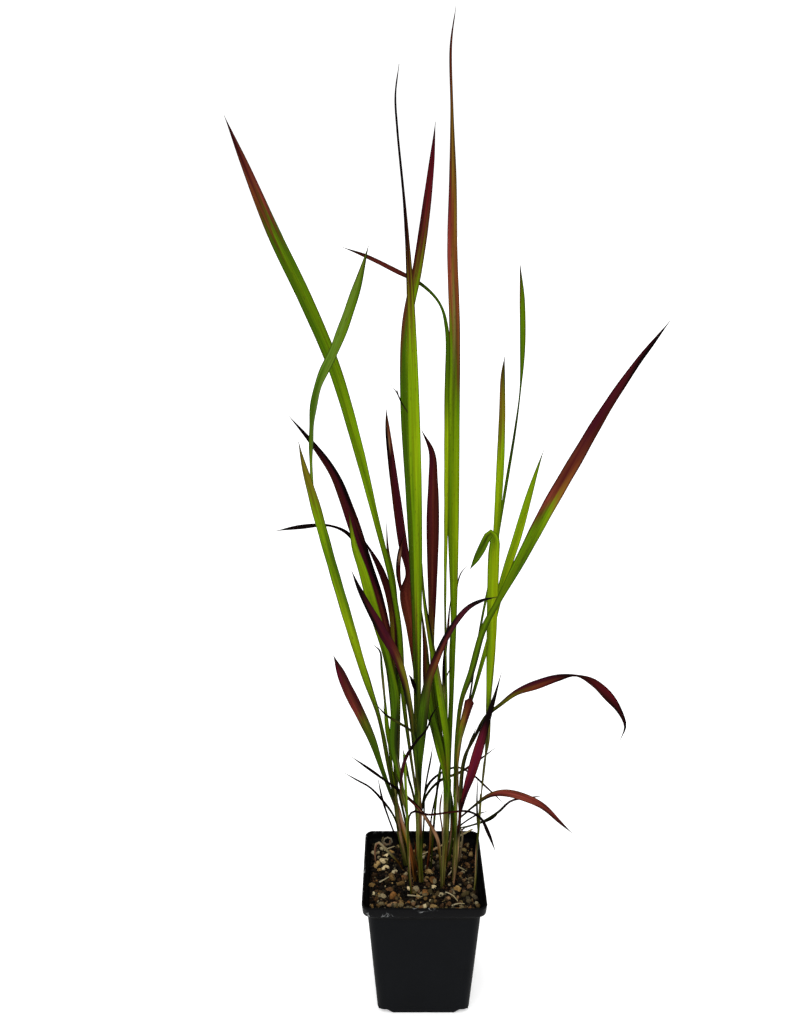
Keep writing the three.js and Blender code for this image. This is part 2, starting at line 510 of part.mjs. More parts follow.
// One blade: six corners a ring, its left edge, its midrib and its right edge, above and below. Its very foot
// is pinched in, so that it is sunk in what it grows from.
function makeBlade({ points, face }, depth = 0) {
  const listed = depth > 0 ? [rootPoint(points[0], depth), ...points] : points;
  const curve = new THREE.CatmullRomCurve3(vectors(listed), false, 'centripetal');
  const last = listed.length - 1;
  const stations = curve.points.slice(0, last).flatMap((point, i) => {
    const turn = curve.getTangent(i / last).angleTo(curve.getTangent((i + 1) / last));
    const far = point.distanceTo(curve.points[i + 1]) > ringLength;
    return far || THREE.MathUtils.radToDeg(turn) > ringBend ? [i, i + 0.5] : [i];
  });
  const [foot, middle, tip] = face;
  const rings = stations.map((station) => {
    const along = station / last;
    const centre = curve.getPoint(along);
    const tangent = curve.getTangent(along);
    const turn = THREE.MathUtils.degToRad(along < 0.5
      ? THREE.MathUtils.lerp(foot, middle, 2 * along) : THREE.MathUtils.lerp(middle, tip, 2 * along - 1));
    const up = new THREE.Vector3(Math.sin(turn), -Math.cos(turn), faceLift);
    up.addScaledVector(tangent, -up.dot(tangent)).normalize();
    const side = new THREE.Vector3().crossVectors(tangent, up);
    const before = Math.floor(station);
    const width = THREE.MathUtils.lerp(listed[before][3], listed[before + 1][3], station - before);
    const half = Math.max(width, leastWidth) / 2 * (station > 0 ? 1 : rootShare);
    const slope = THREE.MathUtils.lerp(footSlope, bladeSlope, Math.min(along / gutterShare, 1));
    const corner = (across, thickness) => centre.clone().addScaledVector(side, across * half)
      .addScaledVector(up, Math.abs(across) * half * slope + thickness / 2);
    return [corner(-1, edgeThickness), corner(0, ribThickness), corner(1, edgeThickness),
      corner(1, -edgeThickness), corner(0, -ribThickness), corner(-1, -edgeThickness)];
  });
  const root = rings[0].reduce((sum, point) => sum.add(point), new THREE.Vector3()).divideScalar(6);
  return loft(rings, root, curve.getPoint(1), [3, 4]);
}

// A round stem that thins towards its top
function makeStem({ foot, top, points }, depth, steps = stemRings) {
  const way = vectors(depth > 0 ? [rootPoint(points[0], depth), ...points] : points);
  const curve = new THREE.CatmullRomCurve3(way, false, 'centripetal');
  const rings = [];
  for (let i = 0; i <= steps; i += 1) {
    const centre = curve.getPointAt(i / steps);
    const tangent = curve.getTangentAt(i / steps);
    const across = new THREE.Vector3(tangent.z, 0, -tangent.x).normalize();
    const ahead = new THREE.Vector3().crossVectors(tangent, across);
    const radius = THREE.MathUtils.lerp(foot, top, i / steps) / 2;
    const ring = [];
    for (let side = 0; side < stemSides; side += 1) {
      const angle = 2 * Math.PI * side / stemSides;
      ring.push(centre.clone().addScaledVector(across, radius * Math.cos(angle))
        .addScaledVector(ahead, radius * Math.sin(angle)));
    }
    rings.push(ring);
  }
  return loft(rings, curve.getPointAt(0), curve.getPointAt(1).addScaledVector(curve.getTangentAt(1), top));
}

const makeShoot = ({ stem, leaves }) => joined([
  makeStem(stem, stemDepth), ...leaves.map((blade) => makeBlade(blade))]);

const group = new THREE.Group();
group.name = 'potted_blood_grass';

function place(name, geometry, material) {
  geometry.computeVertexNormals();
  const mesh = new THREE.Mesh(geometry, material);
  mesh.name = name;
  group.add(mesh);
}

place('pot', makePot(), materials.pot);
place('soil', makeSoil(), materials.soil);
for (const [name, shoot] of Object.entries(shoots)) {
  place(name, makeShoot(shoot), shoot.red ? materials.red : materials.green);
}
for (const [name, blade] of Object.entries(deadLeaves)) {
  place(name, makeBlade(blade, leafDepth), materials.straw);
}
place('straw_stalk', makeStem({ foot: stalk.thickness, top: stalk.thickness, points: stalk.points }, 0),
  materials.straw);

export default group;
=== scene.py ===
import math

import bmesh
import bpy
import numpy as np
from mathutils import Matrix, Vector


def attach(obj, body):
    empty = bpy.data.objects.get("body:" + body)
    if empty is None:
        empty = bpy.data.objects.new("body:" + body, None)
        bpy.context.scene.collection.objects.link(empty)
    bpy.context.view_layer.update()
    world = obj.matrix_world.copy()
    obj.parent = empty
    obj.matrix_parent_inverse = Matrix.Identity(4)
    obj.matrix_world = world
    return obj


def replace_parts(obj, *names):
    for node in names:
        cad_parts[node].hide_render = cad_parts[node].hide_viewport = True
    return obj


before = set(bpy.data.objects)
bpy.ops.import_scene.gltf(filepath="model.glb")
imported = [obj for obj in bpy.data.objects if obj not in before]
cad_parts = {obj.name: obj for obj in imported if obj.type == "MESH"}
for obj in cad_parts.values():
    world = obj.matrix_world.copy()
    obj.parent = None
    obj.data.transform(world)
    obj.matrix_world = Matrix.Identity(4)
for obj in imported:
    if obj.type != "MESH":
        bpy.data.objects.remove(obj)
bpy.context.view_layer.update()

# ---- The view ----
# A young clump of Japanese blood grass in its nursery pot, as in a plain catalogue photograph: the camera
# stands a little to the left of the pot's middle, as high as the upper leaves, and looks down 17 degrees.
scene = bpy.context.scene
camera = bpy.data.objects.new("view_camera", bpy.data.cameras.new("view_camera"))
camera_pitch = 17.1
camera.data.lens = 33.1
camera.location = (-0.0175, -0.600, 0.568)
camera.rotation_euler = (math.radians(90 - camera_pitch), 0, 0)
scene.collection.objects.link(camera)
scene.camera = camera
scene.view_settings.view_transform = "Standard"


# ---- Light and floor ----
# Soft studio light: a white surround with a broad weak sun in it, and two soft boxes whose reflections give
# the plastic and the blades their sheen, over a plain pale floor with a faint glow of its own, like a light
# table's.
def colour(code):
    """The linear red, green, blue and alpha of an sRGB hex code: below 0.04 a straight line, above it the
    power 2.4 of the value raised by 0.055."""
    value = np.array([int(code[i:i + 2], 16) for i in (1, 3, 5)]) / 255
    linear = np.where(value < 0.04045, value / 12.92, ((value + 0.055) / 1.055) ** 2.4)
    return (*linear.tolist(), 1.0)


def add_node(tree, kind, inputs=None, **settings):
    """Adds a node. An input, given by its name or number, is either a value or another node's output that is
    linked to it. A Mix node's colours are its inputs 6 and 7 and its output 2."""
    made = tree.nodes.new(kind)
    for name, value in settings.items():
        setattr(made, name, value)
    for name, value in (inputs or {}).items():
        if isinstance(value, bpy.types.NodeSocket):
            tree.links.new(value, made.inputs[name])
        else:
            made.inputs[name].default_value = value
    return made


scene.world = bpy.data.worlds.new("white_surround")
scene.world.use_nodes = True
surround = scene.world.node_tree.nodes["Background"].inputs
surround["Color"].default_value = colour("#ffffff")
surround["Strength"].default_value = 1.15

lights = {
    "overcast_sun": {"kind": "SUN", "power": 0.52, "size": math.radians(70), "place": (-0.5, -0.6, 1.6)},
    "key_box": {"kind": "AREA", "power": 3.5, "size": 0.8, "place": (-0.9, -1.1, 1.5)},
    "fill_box": {"kind": "AREA", "power": 1.75, "size": 0.6, "place": (1.2, -0.6, 0.9)},
}
aim = Vector((0, 0, 0.3))
for name, lamp in lights.items():
    light = bpy.data.objects.new(name, bpy.data.lights.new(name, lamp["kind"]))
    light.data.energy = lamp["power"]
    if lamp["kind"] == "SUN":
        light.data.angle = lamp["size"]
    else:
        light.data.size = lamp["size"]
    light.location = lamp["place"]
    light.rotation_euler = (light.location - aim).to_track_quat("Z", "Y").to_euler()
    scene.collection.objects.link(light)

floor_half = 40.0
floor_mesh = bpy.data.meshes.new("pale_floor")
floor_mesh.from_pydata([(-floor_half, -floor_half, 0), (floor_half, -floor_half, 0),
                        (floor_half, floor_half, 0), (-floor_half, floor_half, 0)], [], [(0, 1, 2, 3)])
floor = bpy.data.objects.new("pale_floor", floor_mesh)
scene.collection.objects.link(floor)
floor_paint = bpy.data.materials.new("matt_white_floor_paint")
floor_paint.use_nodes = True
floor_look = floor_paint.node_tree.nodes["Principled BSDF"].inputs
floor_look["Base Color"].default_value = colour("#fafafa")
floor_look["Roughness"].default_value = 1.0
floor_look["Specular IOR Level"].default_value = 0.0
floor_look["Emission Color"].default_value = colour("#ffffff")
floor_look["Emission Strength"].default_value = 0.25
floor_mesh.materials.append(floor_paint)


# ---- The nursery pot ----
# A square pot, injection moulded in one piece from black polypropylene: thin tapering sides, a lip that
# stands out round the top, and a flat foot whose corners are raised over drain holes. It stands on its foot.
mm = 0.001
pot_width = 90
pot_height = 103
pot_wall = 1.4
pot_top_width = 82
pot_foot_width = 68.5
pot_corner = 6.0
pot_floor = 2.4
lip_height = 11
lip_draft = 0.6
lip_chamfer = 3.5
drain_width = 12
drain_height = 3.6
drain_slope = 5
drain_hole = 5
drain_inset = 4.2
body_top = pot_height - lip_height
ledge = body_top + pot_wall
lip_inside = pot_width / 2 - lip_draft - pot_wall


def body_half(z):
    """Half the pot's width at height z: a straight taper from the foot to the underside of the lip."""
    return (pot_foot_width + (pot_top_width - pot_foot_width) * z / body_top) / 2


def rounded_square(half, corner, count):
    """Points round a square with rounded corners, anticlockwise: evenly round the square, then in each
    corner drawn in onto a circle of the corner's radius. Half and corner may be arrays, one row for each."""
    step = 4 * np.arange(count) / count
    wave = np.clip(2 - np.abs(2 * step - 3), -1, 1)
    square = np.stack([wave, np.roll(wave, count // 4)], axis=-1)
    half = np.reshape(half, (-1, 1, 1))
    corner = np.reshape(corner, (-1, 1, 1))
    middle = np.clip(square * half, corner - half, half - corner)
    out = square * half - middle
    length = np.maximum(np.linalg.norm(out, axis=-1, keepdims=True), 1e-9)
    return middle + corner * out / length


def closed_faces(rows, columns):
    """Faces of a skin over rows of rings, each ring with as many corners. The first ring closes on the point
    after the last ring, and the last ring on the point after that."""
    row, column = np.meshgrid(np.arange(rows - 1), np.arange(columns), indexing="ij")
    right = (column + 1) % columns
    walls = np.stack([row * columns + column, row * columns + right,
                      (row + 1) * columns + right, (row + 1) * columns + column], axis=-1).reshape(-1, 4)
    ring = np.arange(columns)
    after = (ring + 1) % columns
    first = np.stack([np.full(columns, rows * columns), after, ring], axis=-1)
    last = np.stack([np.full(columns, rows * columns + 1), (rows - 1) * columns + ring,
                     (rows - 1) * columns + after], axis=-1)
    return walls, np.concatenate([first, last])


def make_piece(name, vertices, faces, material):
    """A new object from its vertices in millimetres and its faces. It rides on the part's one body."""
    mesh = bpy.data.meshes.new(name)
    mesh.from_pydata((np.asarray(vertices) * mm).tolist(), [], faces)
    mesh.shade_smooth()
    mesh.materials.append(material)
    piece = bpy.data.objects.new(name, mesh)
    scene.collection.objects.link(piece)
    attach(piece, "root")
    return piece


# The pot's section from the middle of its underside up the outside, over the lip and down the inside to the
# middle of its floor: half width, the radius of the corners and height. Every edge is a little rounded.
underside_middle = 24.0
floor_middle = 20.0
lip_half = pot_width / 2
lip_low = lip_half - lip_draft
wall_half = body_half(body_top)
throat = body_half(ledge) - pot_wall
inner_half = body_half(pot_floor) - pot_wall
pot_section = np.array([
    (underside_middle, 5.0, 0.0), (body_half(0) - 1.2, 4.4, 0.0), (body_half(0) - 0.7, 4.6, 0.0),
    (body_half(0) - 0.2, 4.9, 0.2), (body_half(0), 5.0, 0.6), (body_half(1.2), 5.0, 1.2),
    (body_half(15), 5.2, 15.0), (body_half(40), 5.5, 40.0), (body_half(65), 5.8, 65.0),
    (body_half(90), pot_corner, 90.0), (wall_half - 0.02, pot_corner, body_top - 0.5),
    (wall_half + 0.15, pot_corner, body_top), (wall_half + 0.5, pot_corner, body_top + 0.4),
    (lip_low - 0.6, pot_corner, body_top + lip_chamfer - 0.75),
    (lip_low - 0.2, pot_corner, body_top + lip_chamfer - 0.25),
    (lip_low, pot_corner, body_top + lip_chamfer + 0.3), (lip_half - 0.1, pot_corner, pot_height - 1.4),
    (lip_half, pot_corner, pot_height - 0.9),
    (lip_half - 0.1, 5.9, pot_height - 0.35), (lip_half - 0.5, 5.6, pot_height - 0.03),
    (lip_half - 0.9, 5.2, pot_height - 0.05), (lip_half - 1.3, 4.8, pot_height - 0.4),
    (lip_half - 1.4, 4.6, pot_height - 0.9), (lip_inside + 0.04, 4.6, ledge + lip_chamfer + 0.4),
    (lip_inside - 0.15, 4.6, ledge + lip_chamfer - 0.1), (throat + 0.35, 4.5, ledge + 0.35),
    (throat, 4.5, ledge - 0.1), (throat - 0.06, 4.5, ledge - 0.8), (inner_half + 0.3, 3.8, pot_floor + 1.5),
    (inner_half, 3.6, pot_floor + 0.4), (inner_half - 0.6, 3.4, pot_floor), (floor_middle, 3.0, pot_floor),
])
pot_columns = 320


def moulded_black_polypropylene():
    """Black moulded plastic: near black with a fine satin grain, which breaks its reflections up into a grey
    bloom, and pale scuffs on the lip."""
    material = bpy.data.materials.new("moulded_black_polypropylene")
    material.use_nodes = True
    tree = material.node_tree
    look = tree.nodes["Principled BSDF"]
    place = add_node(tree, "ShaderNodeTexCoord").outputs["Object"]
    apart = add_node(tree, "ShaderNodeSeparateXYZ", {"Vector": place}).outputs
    height = apart["Z"]
    sides = [add_node(tree, "ShaderNodeMath", {0: apart[axis]}, operation="ABSOLUTE").outputs[0]
             for axis in "XY"]
    reach = add_node(tree, "ShaderNodeMath", {0: sides[0], 1: sides[1]}, operation="MAXIMUM").outputs[0]
    # cloudy wear over some 25 mm, scuffs 14 mm long, mould grain of 0.5 mm drawn at 1 mm so that it shows
    wear_size, scuff_size, grain_size = 25 * mm, 14 * mm, 1 * mm
    cloud = add_node(tree, "ShaderNodeTexNoise", {"Vector": place, "Scale": 1 / wear_size, "Detail": 4.0})
    grain = add_node(tree, "ShaderNodeTexNoise", {"Vector": place, "Scale": 1 / grain_size, "Detail": 2.0})
    on_lip = add_node(tree, "ShaderNodeMapRange", {
        "Value": height, "From Min": (body_top + 1) * mm, "From Max": (body_top + 4) * mm}).outputs["Result"]
    body = add_node(tree, "ShaderNodeMix", {
        0: cloud.outputs["Fac"], 6: colour("#030406"), 7: colour("#07090c")}, data_type="RGBA")
    # painted shade: the lip is painted a darker black than the body, to hold down the light that falls on it
    lip_painted_darker = add_node(tree, "ShaderNodeMix", {
        0: on_lip, 6: body.outputs[2], 7: colour("#020203")}, data_type="RGBA")
    # the lip's outer side, where hands and trays rub it; inside it and under the lip the plastic is painted
    # darker as shade
    outer = add_node(tree, "ShaderNodeMapRange", {
        "Value": reach, "From Min": (lip_inside + 0.3) * mm, "From Max": (lip_inside + 1) * mm})
    # scuffs: thin bent lines where a distorted noise crosses its middle value, in patches of the lip
    line = add_node(tree, "ShaderNodeTexNoise", {
        "Vector": place, "Scale": 1 / scuff_size, "Detail": 3.0, "Distortion": 1.2})
    offset = add_node(tree, "ShaderNodeMath", {0: line.outputs["Fac"], 1: 0.5}, operation="SUBTRACT")
    distance = add_node(tree, "ShaderNodeMath", {0: offset.outputs[0]}, operation="ABSOLUTE")
    thin = add_node(tree, "ShaderNodeMapRange", {
        "Value": distance.outputs[0], "From Min": 0.004, "From Max": 0.018, "To Min": 1.0, "To Max": 0.0})
    patch = add_node(tree, "ShaderNodeMapRange", {
        "Value": cloud.outputs["Fac"], "From Min": 0.5, "From Max": 0.62})
    scuff = thin.outputs[0]
    for share in (patch.outputs[0], on_lip, outer.outputs[0]):
        scuff = add_node(tree, "ShaderNodeMath", {0: scuff, 1: share}, operation="MULTIPLY").outputs[0]
    scuffed = add_node(tree, "ShaderNodeMix", {
        0: scuff, 6: lip_painted_darker.outputs[2], 7: colour("#a6a8a8")}, data_type="RGBA")
    # painted shade: the inside of the lip, the ledge, the underside of the lip and the top of the wall below
    # it take a darker black
    shaded = add_node(tree, "ShaderNodeMix", {
        0: outer.outputs[0], 6: colour("#030303"), 7: scuffed.outputs[2]}, data_type="RGBA")
    upper = add_node(tree, "ShaderNodeMath", {0: height, 1: (body_top - 2) * mm}, operation="GREATER_THAN")
    finished = add_node(tree, "ShaderNodeMix", {
        0: upper.outputs[0], 6: body.outputs[2], 7: shaded.outputs[2]}, data_type="RGBA")
    tree.links.new(finished.outputs[2], look.inputs["Base Color"])
    rough = add_node(tree, "ShaderNodeMapRange", {
        "Value": grain.outputs["Fac"], "To Min": 0.38, "To Max": 0.6})
    tree.links.new(rough.outputs["Result"], look.inputs["Roughness"])
    bump = add_node(tree, "ShaderNodeBump", {
        "Height": grain.outputs["Fac"], "Strength": 0.35, "Distance": 0.12 * mm})
    tree.links.new(bump.outputs["Normal"], look.inputs["Normal"])
    look.inputs["Specular IOR Level"].default_value = 0.04
    return material


def blocks_and_posts(name, blocks, posts, sides=24):
    """One helper mesh of closed blocks, each from its middle x and y, its half width at its foot and at its
    top, and its heights there, and of upright posts, each from x, y, its radius and its heights."""
    shape = bmesh.new()
    for x, y, low_half, high_half, low, high in blocks:
        for vertex in bmesh.ops.create_cube(shape, size=2)["verts"]:
            half, z = (low_half, low) if vertex.co.z < 0 else (high_half, high)
            vertex.co = [(x + vertex.co.x * half) * mm, (y + vertex.co.y * half) * mm, z * mm]
    for x, y, radius, low, high in posts:
        made = bmesh.ops.create_cone(shape, cap_ends=True, segments=sides, radius1=radius * mm,
                                     radius2=radius * mm, depth=(high - low) * mm)["verts"]
        bmesh.ops.translate(shape, verts=made, vec=(x * mm, y * mm, (low + high) / 2 * mm))
    mesh = bpy.data.meshes.new(name)
    shape.to_mesh(mesh)
    shape.free()
    helper = bpy.data.objects.new(name, mesh)
    scene.collection.objects.link(helper)
    return helper


def make_pot():
    """The shell is the section swept round a square with rounded corners. A pad is added in each corner of
    its floor, and a recess with sloping sides and a round hole is cut up into each pad."""
    half, corner, z = pot_section.T
    outline = rounded_square(half, corner, pot_columns)
    heights = np.broadcast_to(z[:, None, None], outline.shape[:2] + (1,))
    rings = np.concatenate([outline, heights], axis=-1).reshape(-1, 3)
    walls, ends = closed_faces(len(pot_section), pot_columns)
    vertices = np.vstack([rings, (0, 0, 0), (0, 0, pot_floor)])
    pot = make_piece("nursery_pot", vertices, walls.tolist() + ends.tolist(),
                     moulded_black_polypropylene())
    quarters = [(-1, -1), (1, -1), (1, 1), (-1, 1)]
    pad = (drain_width + pot_wall) / 2
    pad_place = body_half(0) - pot_wall / 2 - pad
    corner_place = pot_foot_width / 2
    hole_place = corner_place - drain_inset
    below = 1
    widest = drain_width + drain_slope * below / drain_height
    pads = blocks_and_posts("drain_pads", [
        (x * pad_place, y * pad_place, pad, pad, pot_wall, pot_wall + drain_height) for x, y in quarters], [])
    drains = blocks_and_posts("drain_recesses", [
        (x * corner_place, y * corner_place, widest, drain_width - drain_slope, -below, drain_height)
        for x, y in quarters], [
        (x * hole_place, y * hole_place, drain_hole / 2, below, below + 2 * drain_height)
        for x, y in quarters])
    for helper, operation in ((pads, "UNION"), (drains, "DIFFERENCE")):
        boolean = pot.modifiers.new(helper.name, "BOOLEAN")
        boolean.object = helper
        boolean.operation = operation
        boolean.solver = "EXACT"
        boolean.use_self = operation == "DIFFERENCE"
    graph = bpy.context.evaluated_depsgraph_get()
    moulded = bpy.data.meshes.new_from_object(pot.evaluated_get(graph))
    pot.modifiers.clear()
    pot.data = moulded
    for helper in (pads, drains):
        bpy.data.objects.remove(helper)
    moulded.set_sharp_from_angle(angle=math.radians(35))
    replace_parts(pot, "pot")


make_pot()


# ---- Soil and grit ----
# Dark, damp potting mix, filled to a little above the ledge inside the lip: crumbs of peat and bark with
# broken river grit of cream, tan and rust stones on top. It lies loose in the pot.
clearance = 0.3
soil_level = 94.6
soil_relief = 0.5
soil_edge = 40.2
soil_corner = 4.3
soil_foot_share = 0.62
soil_columns = 256
soil_rings = 46
crumb_relief = 0.55
seed = np.random.default_rng(11)


def soil_height(x, y):
    """Height of the soil: its level, with low waves some 30 mm long."""
    return soil_level + soil_relief / 2 * (
        np.sin(0.21 * x + 0.4) * np.cos(0.26 * y) + np.sin(0.13 * y - 0.17 * x + 1))


def crumbs_of(x, y):
    """Crumbly relief from 0 to 1: the product of pairs of waves 3 to 9 mm long, laid in different ways."""
    total = 0
    for length, turn in ((9, 0.3), (6.3, 1.4), (4.7, 2.5), (3.6, 0.9), (3.1, 2.0)):
        along = (x * math.cos(turn) + y * math.sin(turn)) * 2 * math.pi / length
        across = (y * math.cos(turn) - x * math.sin(turn)) * 2 * math.pi / length
        total = total + np.sin(along + 1.3 * np.sin(across)) * np.sin(across + 2 * turn) / 5
    return 0.5 + total


def tint_points(mesh, tints):
    """Gives each vertex its own colour, for the material to read."""
    attribute = mesh.attributes.new("tint", "FLOAT_COLOR", "POINT")
    rgba = np.ones((len(tints), 4), np.float32)
    rgba[:, :3] = tints
    attribute.data.foreach_set("color", rgba.ravel())


def gritty_material(name, grain_size, contrast, roughness, bump_height):
    """Crumbs and stones: each body's own tint, mottled with a noise of the grain's size, matt and rough."""
    material = bpy.data.materials.new(name)
    material.use_nodes = True
    tree = material.node_tree
    look = tree.nodes["Principled BSDF"]
    place = add_node(tree, "ShaderNodeTexCoord").outputs["Object"]
    tint = add_node(tree, "ShaderNodeAttribute", attribute_name="tint").outputs["Color"]
    grain = add_node(tree, "ShaderNodeTexNoise", {
        "Vector": place, "Scale": 1 / (grain_size * mm), "Detail": 3.0})
    value = add_node(tree, "ShaderNodeMapRange", {
        "Value": grain.outputs["Fac"], "From Min": 0.3, "From Max": 0.7,
        "To Min": 1 - contrast, "To Max": 1 + contrast})
    mottled = add_node(tree, "ShaderNodeHueSaturation", {"Color": tint, "Value": value.outputs["Result"]})
    tree.links.new(mottled.outputs["Color"], look.inputs["Base Color"])
    bump = add_node(tree, "ShaderNodeBump", {
        "Height": grain.outputs["Fac"], "Strength": 0.6, "Distance": bump_height * mm})
    tree.links.new(bump.outputs["Normal"], look.inputs["Normal"])
    look.inputs["Roughness"].default_value = roughness
    look.inputs["Specular IOR Level"].default_value = 0.08
    return material


# damp peat: crumbs of 0.8 mm, nearly black; river grit: mineral mottling of 1.2 mm, smoother than the peat
damp_peat = gritty_material("damp_peat_and_bark", 0.8, 0.5, 0.95, 0.3)
river_grit = gritty_material("broken_river_grit", 1.2, 0.35, 0.75, 0.15)


def make_soil():
    """The soil's body: up its side from the pot's floor to the ledge, then rings drawn in over its surface.
    At the floor it is drawn in, so that its corners stand clear of the pads over the drains."""
    bottom = pot_floor + clearance
    shelf = ledge + clearance
    inset = pot_wall + clearance
    share = np.linspace(1, 0.02, soil_rings)
    half = np.concatenate([[body_half(bottom) - inset, body_half(body_top) - inset], soil_edge * share])
    corner = np.concatenate([[soil_corner - 1, soil_corner], soil_corner * share])
    outline = rounded_square(half, corner, soil_columns)
    x, y = outline[..., 0], outline[..., 1]
    z = soil_height(x, y) + crumb_relief * (crumbs_of(x, y) - 0.5)
    z[:2] = np.array([bottom, shelf])[:, None]
    walls, ends = closed_faces(len(half), soil_columns)
    rings = np.stack([x, y, z], axis=-1).reshape(-1, 3)
    rings[:soil_columns, :2] *= soil_foot_share
    vertices = np.vstack([rings, (0, 0, bottom), (0, 0, soil_height(0, 0))])
    soil = make_piece("potting_soil", vertices, walls.tolist() + ends.tolist(), damp_peat)
    # The tint follows the crumb relief, brown on its tops and near black in its hollows: the peat's own dark
    # brown with painted shade in the hollows.
    dark = np.array(colour("#090604")[:3])
    brown = np.array(colour("#20160e")[:3])
    lit_top_share = np.clip(0.1 + 0.8 * crumbs_of(vertices[:, 0], vertices[:, 1]), 0, 1)[:, None] ** 2
    tint_points(soil.data, dark * (1 - lit_top_share) + brown * lit_top_share)
    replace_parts(soil, "soil")


def lump(divisions):
    """The corners and faces of a ball of triangles with radius 1."""
    shape = bmesh.new()
    bmesh.ops.create_icosphere(shape, subdivisions=divisions, radius=1)
    corners = np.array([v.co for v in shape.verts])
    faces = np.array([[v.index for v in f.verts] for f in shape.faces])
    shape.free()
    return corners, faces


stone_faces = 9
nearest_face = 0.55
furthest_corner = 1.05


def strewn(name, divisions, places, sizes, ratios, turns, tilts, sharpness, tints, material):
    """Many small broken stones as one piece. A stone is a block of flat faces that lie any way, each between
    the nearest face's share and all of its size from its middle. Along each way its reach is 1 over the sum
    of (way times face normal over distance) to the power sharpness, to 1 over that power. It is scaled,
    tilted about X, turned about Z and put in place."""
    corners, faces = lump(divisions)
    count = len(places)
    normals = seed.normal(size=(count, stone_faces, 3))
    distances = seed.uniform(nearest_face, 1.0, (count, stone_faces, 1))
    normals /= np.linalg.norm(normals, axis=-1, keepdims=True) * distances
    facing = np.maximum(np.einsum("vk,npk->nvp", corners, normals), 0)
    reach = ((facing ** sharpness).sum(-1) + 1e-9) ** (-1 / sharpness)
    reach = np.minimum(reach, furthest_corner)
    body = corners * reach[..., None] * sizes[:, None, None] * ratios[:, None, :]
    cosine, sine = np.cos(tilts)[:, None], np.sin(tilts)[:, None]
    y = body[..., 1] * cosine - body[..., 2] * sine
    z = body[..., 1] * sine + body[..., 2] * cosine
    cosine, sine = np.cos(turns)[:, None], np.sin(turns)[:, None]
    x = body[..., 0] * cosine - y * sine
    y = body[..., 0] * sine + y * cosine
    vertices = np.stack([x, y, z], axis=-1) + places[:, None, :]
    shift = (np.arange(count) * len(corners))[:, None, None]
    piece = make_piece(name, vertices.reshape(-1, 3), (faces + shift).reshape(-1, 3).tolist(),
                       material)
    tint_points(piece.data, np.repeat(tints, len(corners), axis=0))


grit_colours = {
    "cream": "#bdaa80", "buff": "#9c8050", "pale": "#a89a76", "tan": "#836538", "brown": "#583d22",
    "orange": "#7a5228", "grey": "#6a5c3f", "olive": "#625430", "pink": "#866746",
}

# The larger pebbles: how far right and back each lies, half its length and its colour
pebbles = [
    (-30, 17, 3, "cream"), (-35, 12.5, 3.1, "buff"), (-29, 9, 2.6, "cream"), (-24, -2, 3.4, "tan"),
    (-21.5, 5, 2, "pale"), (-14, -2, 2.5, "brown"), (-17, -9, 2.9, "tan"), (-25.5, -15, 2.6, "brown"),
    (-22, -22, 3.2, "orange"), (-31, -23, 2.9, "cream"), (-37, -19, 1.8, "pale"), (-38.5, -10, 2, "tan"),
    (-17, -30.5, 2.4, "buff"), (-22, -31, 2.2, "pink"), (-37.5, -34, 2, "tan"), (-31, -31, 2.2, "grey"),
    (-11, -14.5, 1.8, "cream"), (-5.5, -14.5, 2.3, "cream"), (-3.5, -23, 2.3, "buff"),
    (1, -18.5, 2.6, "orange"), (-8, -28, 1.8, "pale"), (0.5, -33, 2, "pale"), (7, -33.5, 2.3, "buff"),
    (7, -5, 2.8, "orange"), (7.5, -12, 2.2, "cream"), (3.5, -9, 1.9, "brown"), (12, -21, 2.2, "pale"),
    (4, 4, 2.5, "buff"), (31, -20, 3, "olive"), (25, -15.5, 2.8, "tan"), (26, -29, 2.4, "olive"),
    (32.5, -27, 1.9, "grey"), (33, -35, 2.1, "brown"), (25.5, -36, 1.8, "pale"), (36, 37, 2.2, "grey"),
    (30, 38.5, 2, "grey"), (38, 26, 2.4, "brown"), (32, 30.5, 2.3, "olive"), (13, 38, 2, "grey"),
    (12, 22.5, 2, "grey"), (7, 17.5, 2.2, "grey"), (-18, 35, 2.1, "olive"), (-24, 28.5, 2.1, "tan"),
    (-28, 24, 2, "cream"), (34, 13.5, 2.3, "brown"), (17.5, -30.5, 1.9, "brown"), (-36, 27, 2, "grey"),
    (-31, 38, 2.1, "brown"), (29, 2, 2.3, "brown"), (36, -4, 2, "grey"), (-11.5, -35, 2, "grey"),
    (19.5, 13, 2, "brown"), (-6, 30, 2.1, "tan"), (22, 24, 1.9, "brown"), (-8, 17.5, 1.9, "grey"),
    (2, 36.5, 2, "olive"),
]
# A pebble's block is this much larger than the pebble, because its flat faces cut it back; it is this high
# and lifted by this share of its half length, so that it lies a little sunk in the soil
pebble_swell = 1.28
pebble_height = 0.62
pebble_lift = 0.2
# How sharp the edges are: broken pebbles, grit worn a little rounder, soft crumbs
pebble_sharpness = 26
grit_sharpness = 18
crumb_sharpness = 8
full_turn = 6.28


def place_pebbles():
    """The larger pebbles. Their widths, turns and tilts follow from their numbers in the list, by sine waves
    out of step with each other, and so does how much darker each one in the front half is."""
    number = np.arange(len(pebbles))
    x, y, size = np.array([pebble[:3] for pebble in pebbles]).T
    places = np.stack([x, y, soil_height(x, y) + pebble_lift * size], axis=-1)
    width = 0.7 + 0.2 * np.sin(3.1 * number)
    ratios = np.stack([np.ones(len(x)), width, np.full(len(x), pebble_height)], axis=-1)
    tints = np.array([colour(grit_colours[pebble[3]])[:3] for pebble in pebbles])
    front_darkening = 0.32 * (1 + np.sin(2.3 * number)) * (y < 5)
    tints *= (1.02 - front_darkening)[:, None]
    strewn("river_pebbles", 4, places, pebble_swell * size, ratios, 1.7 * number, 0.3 * np.sin(5 * number),
           pebble_sharpness, tints, river_grit)


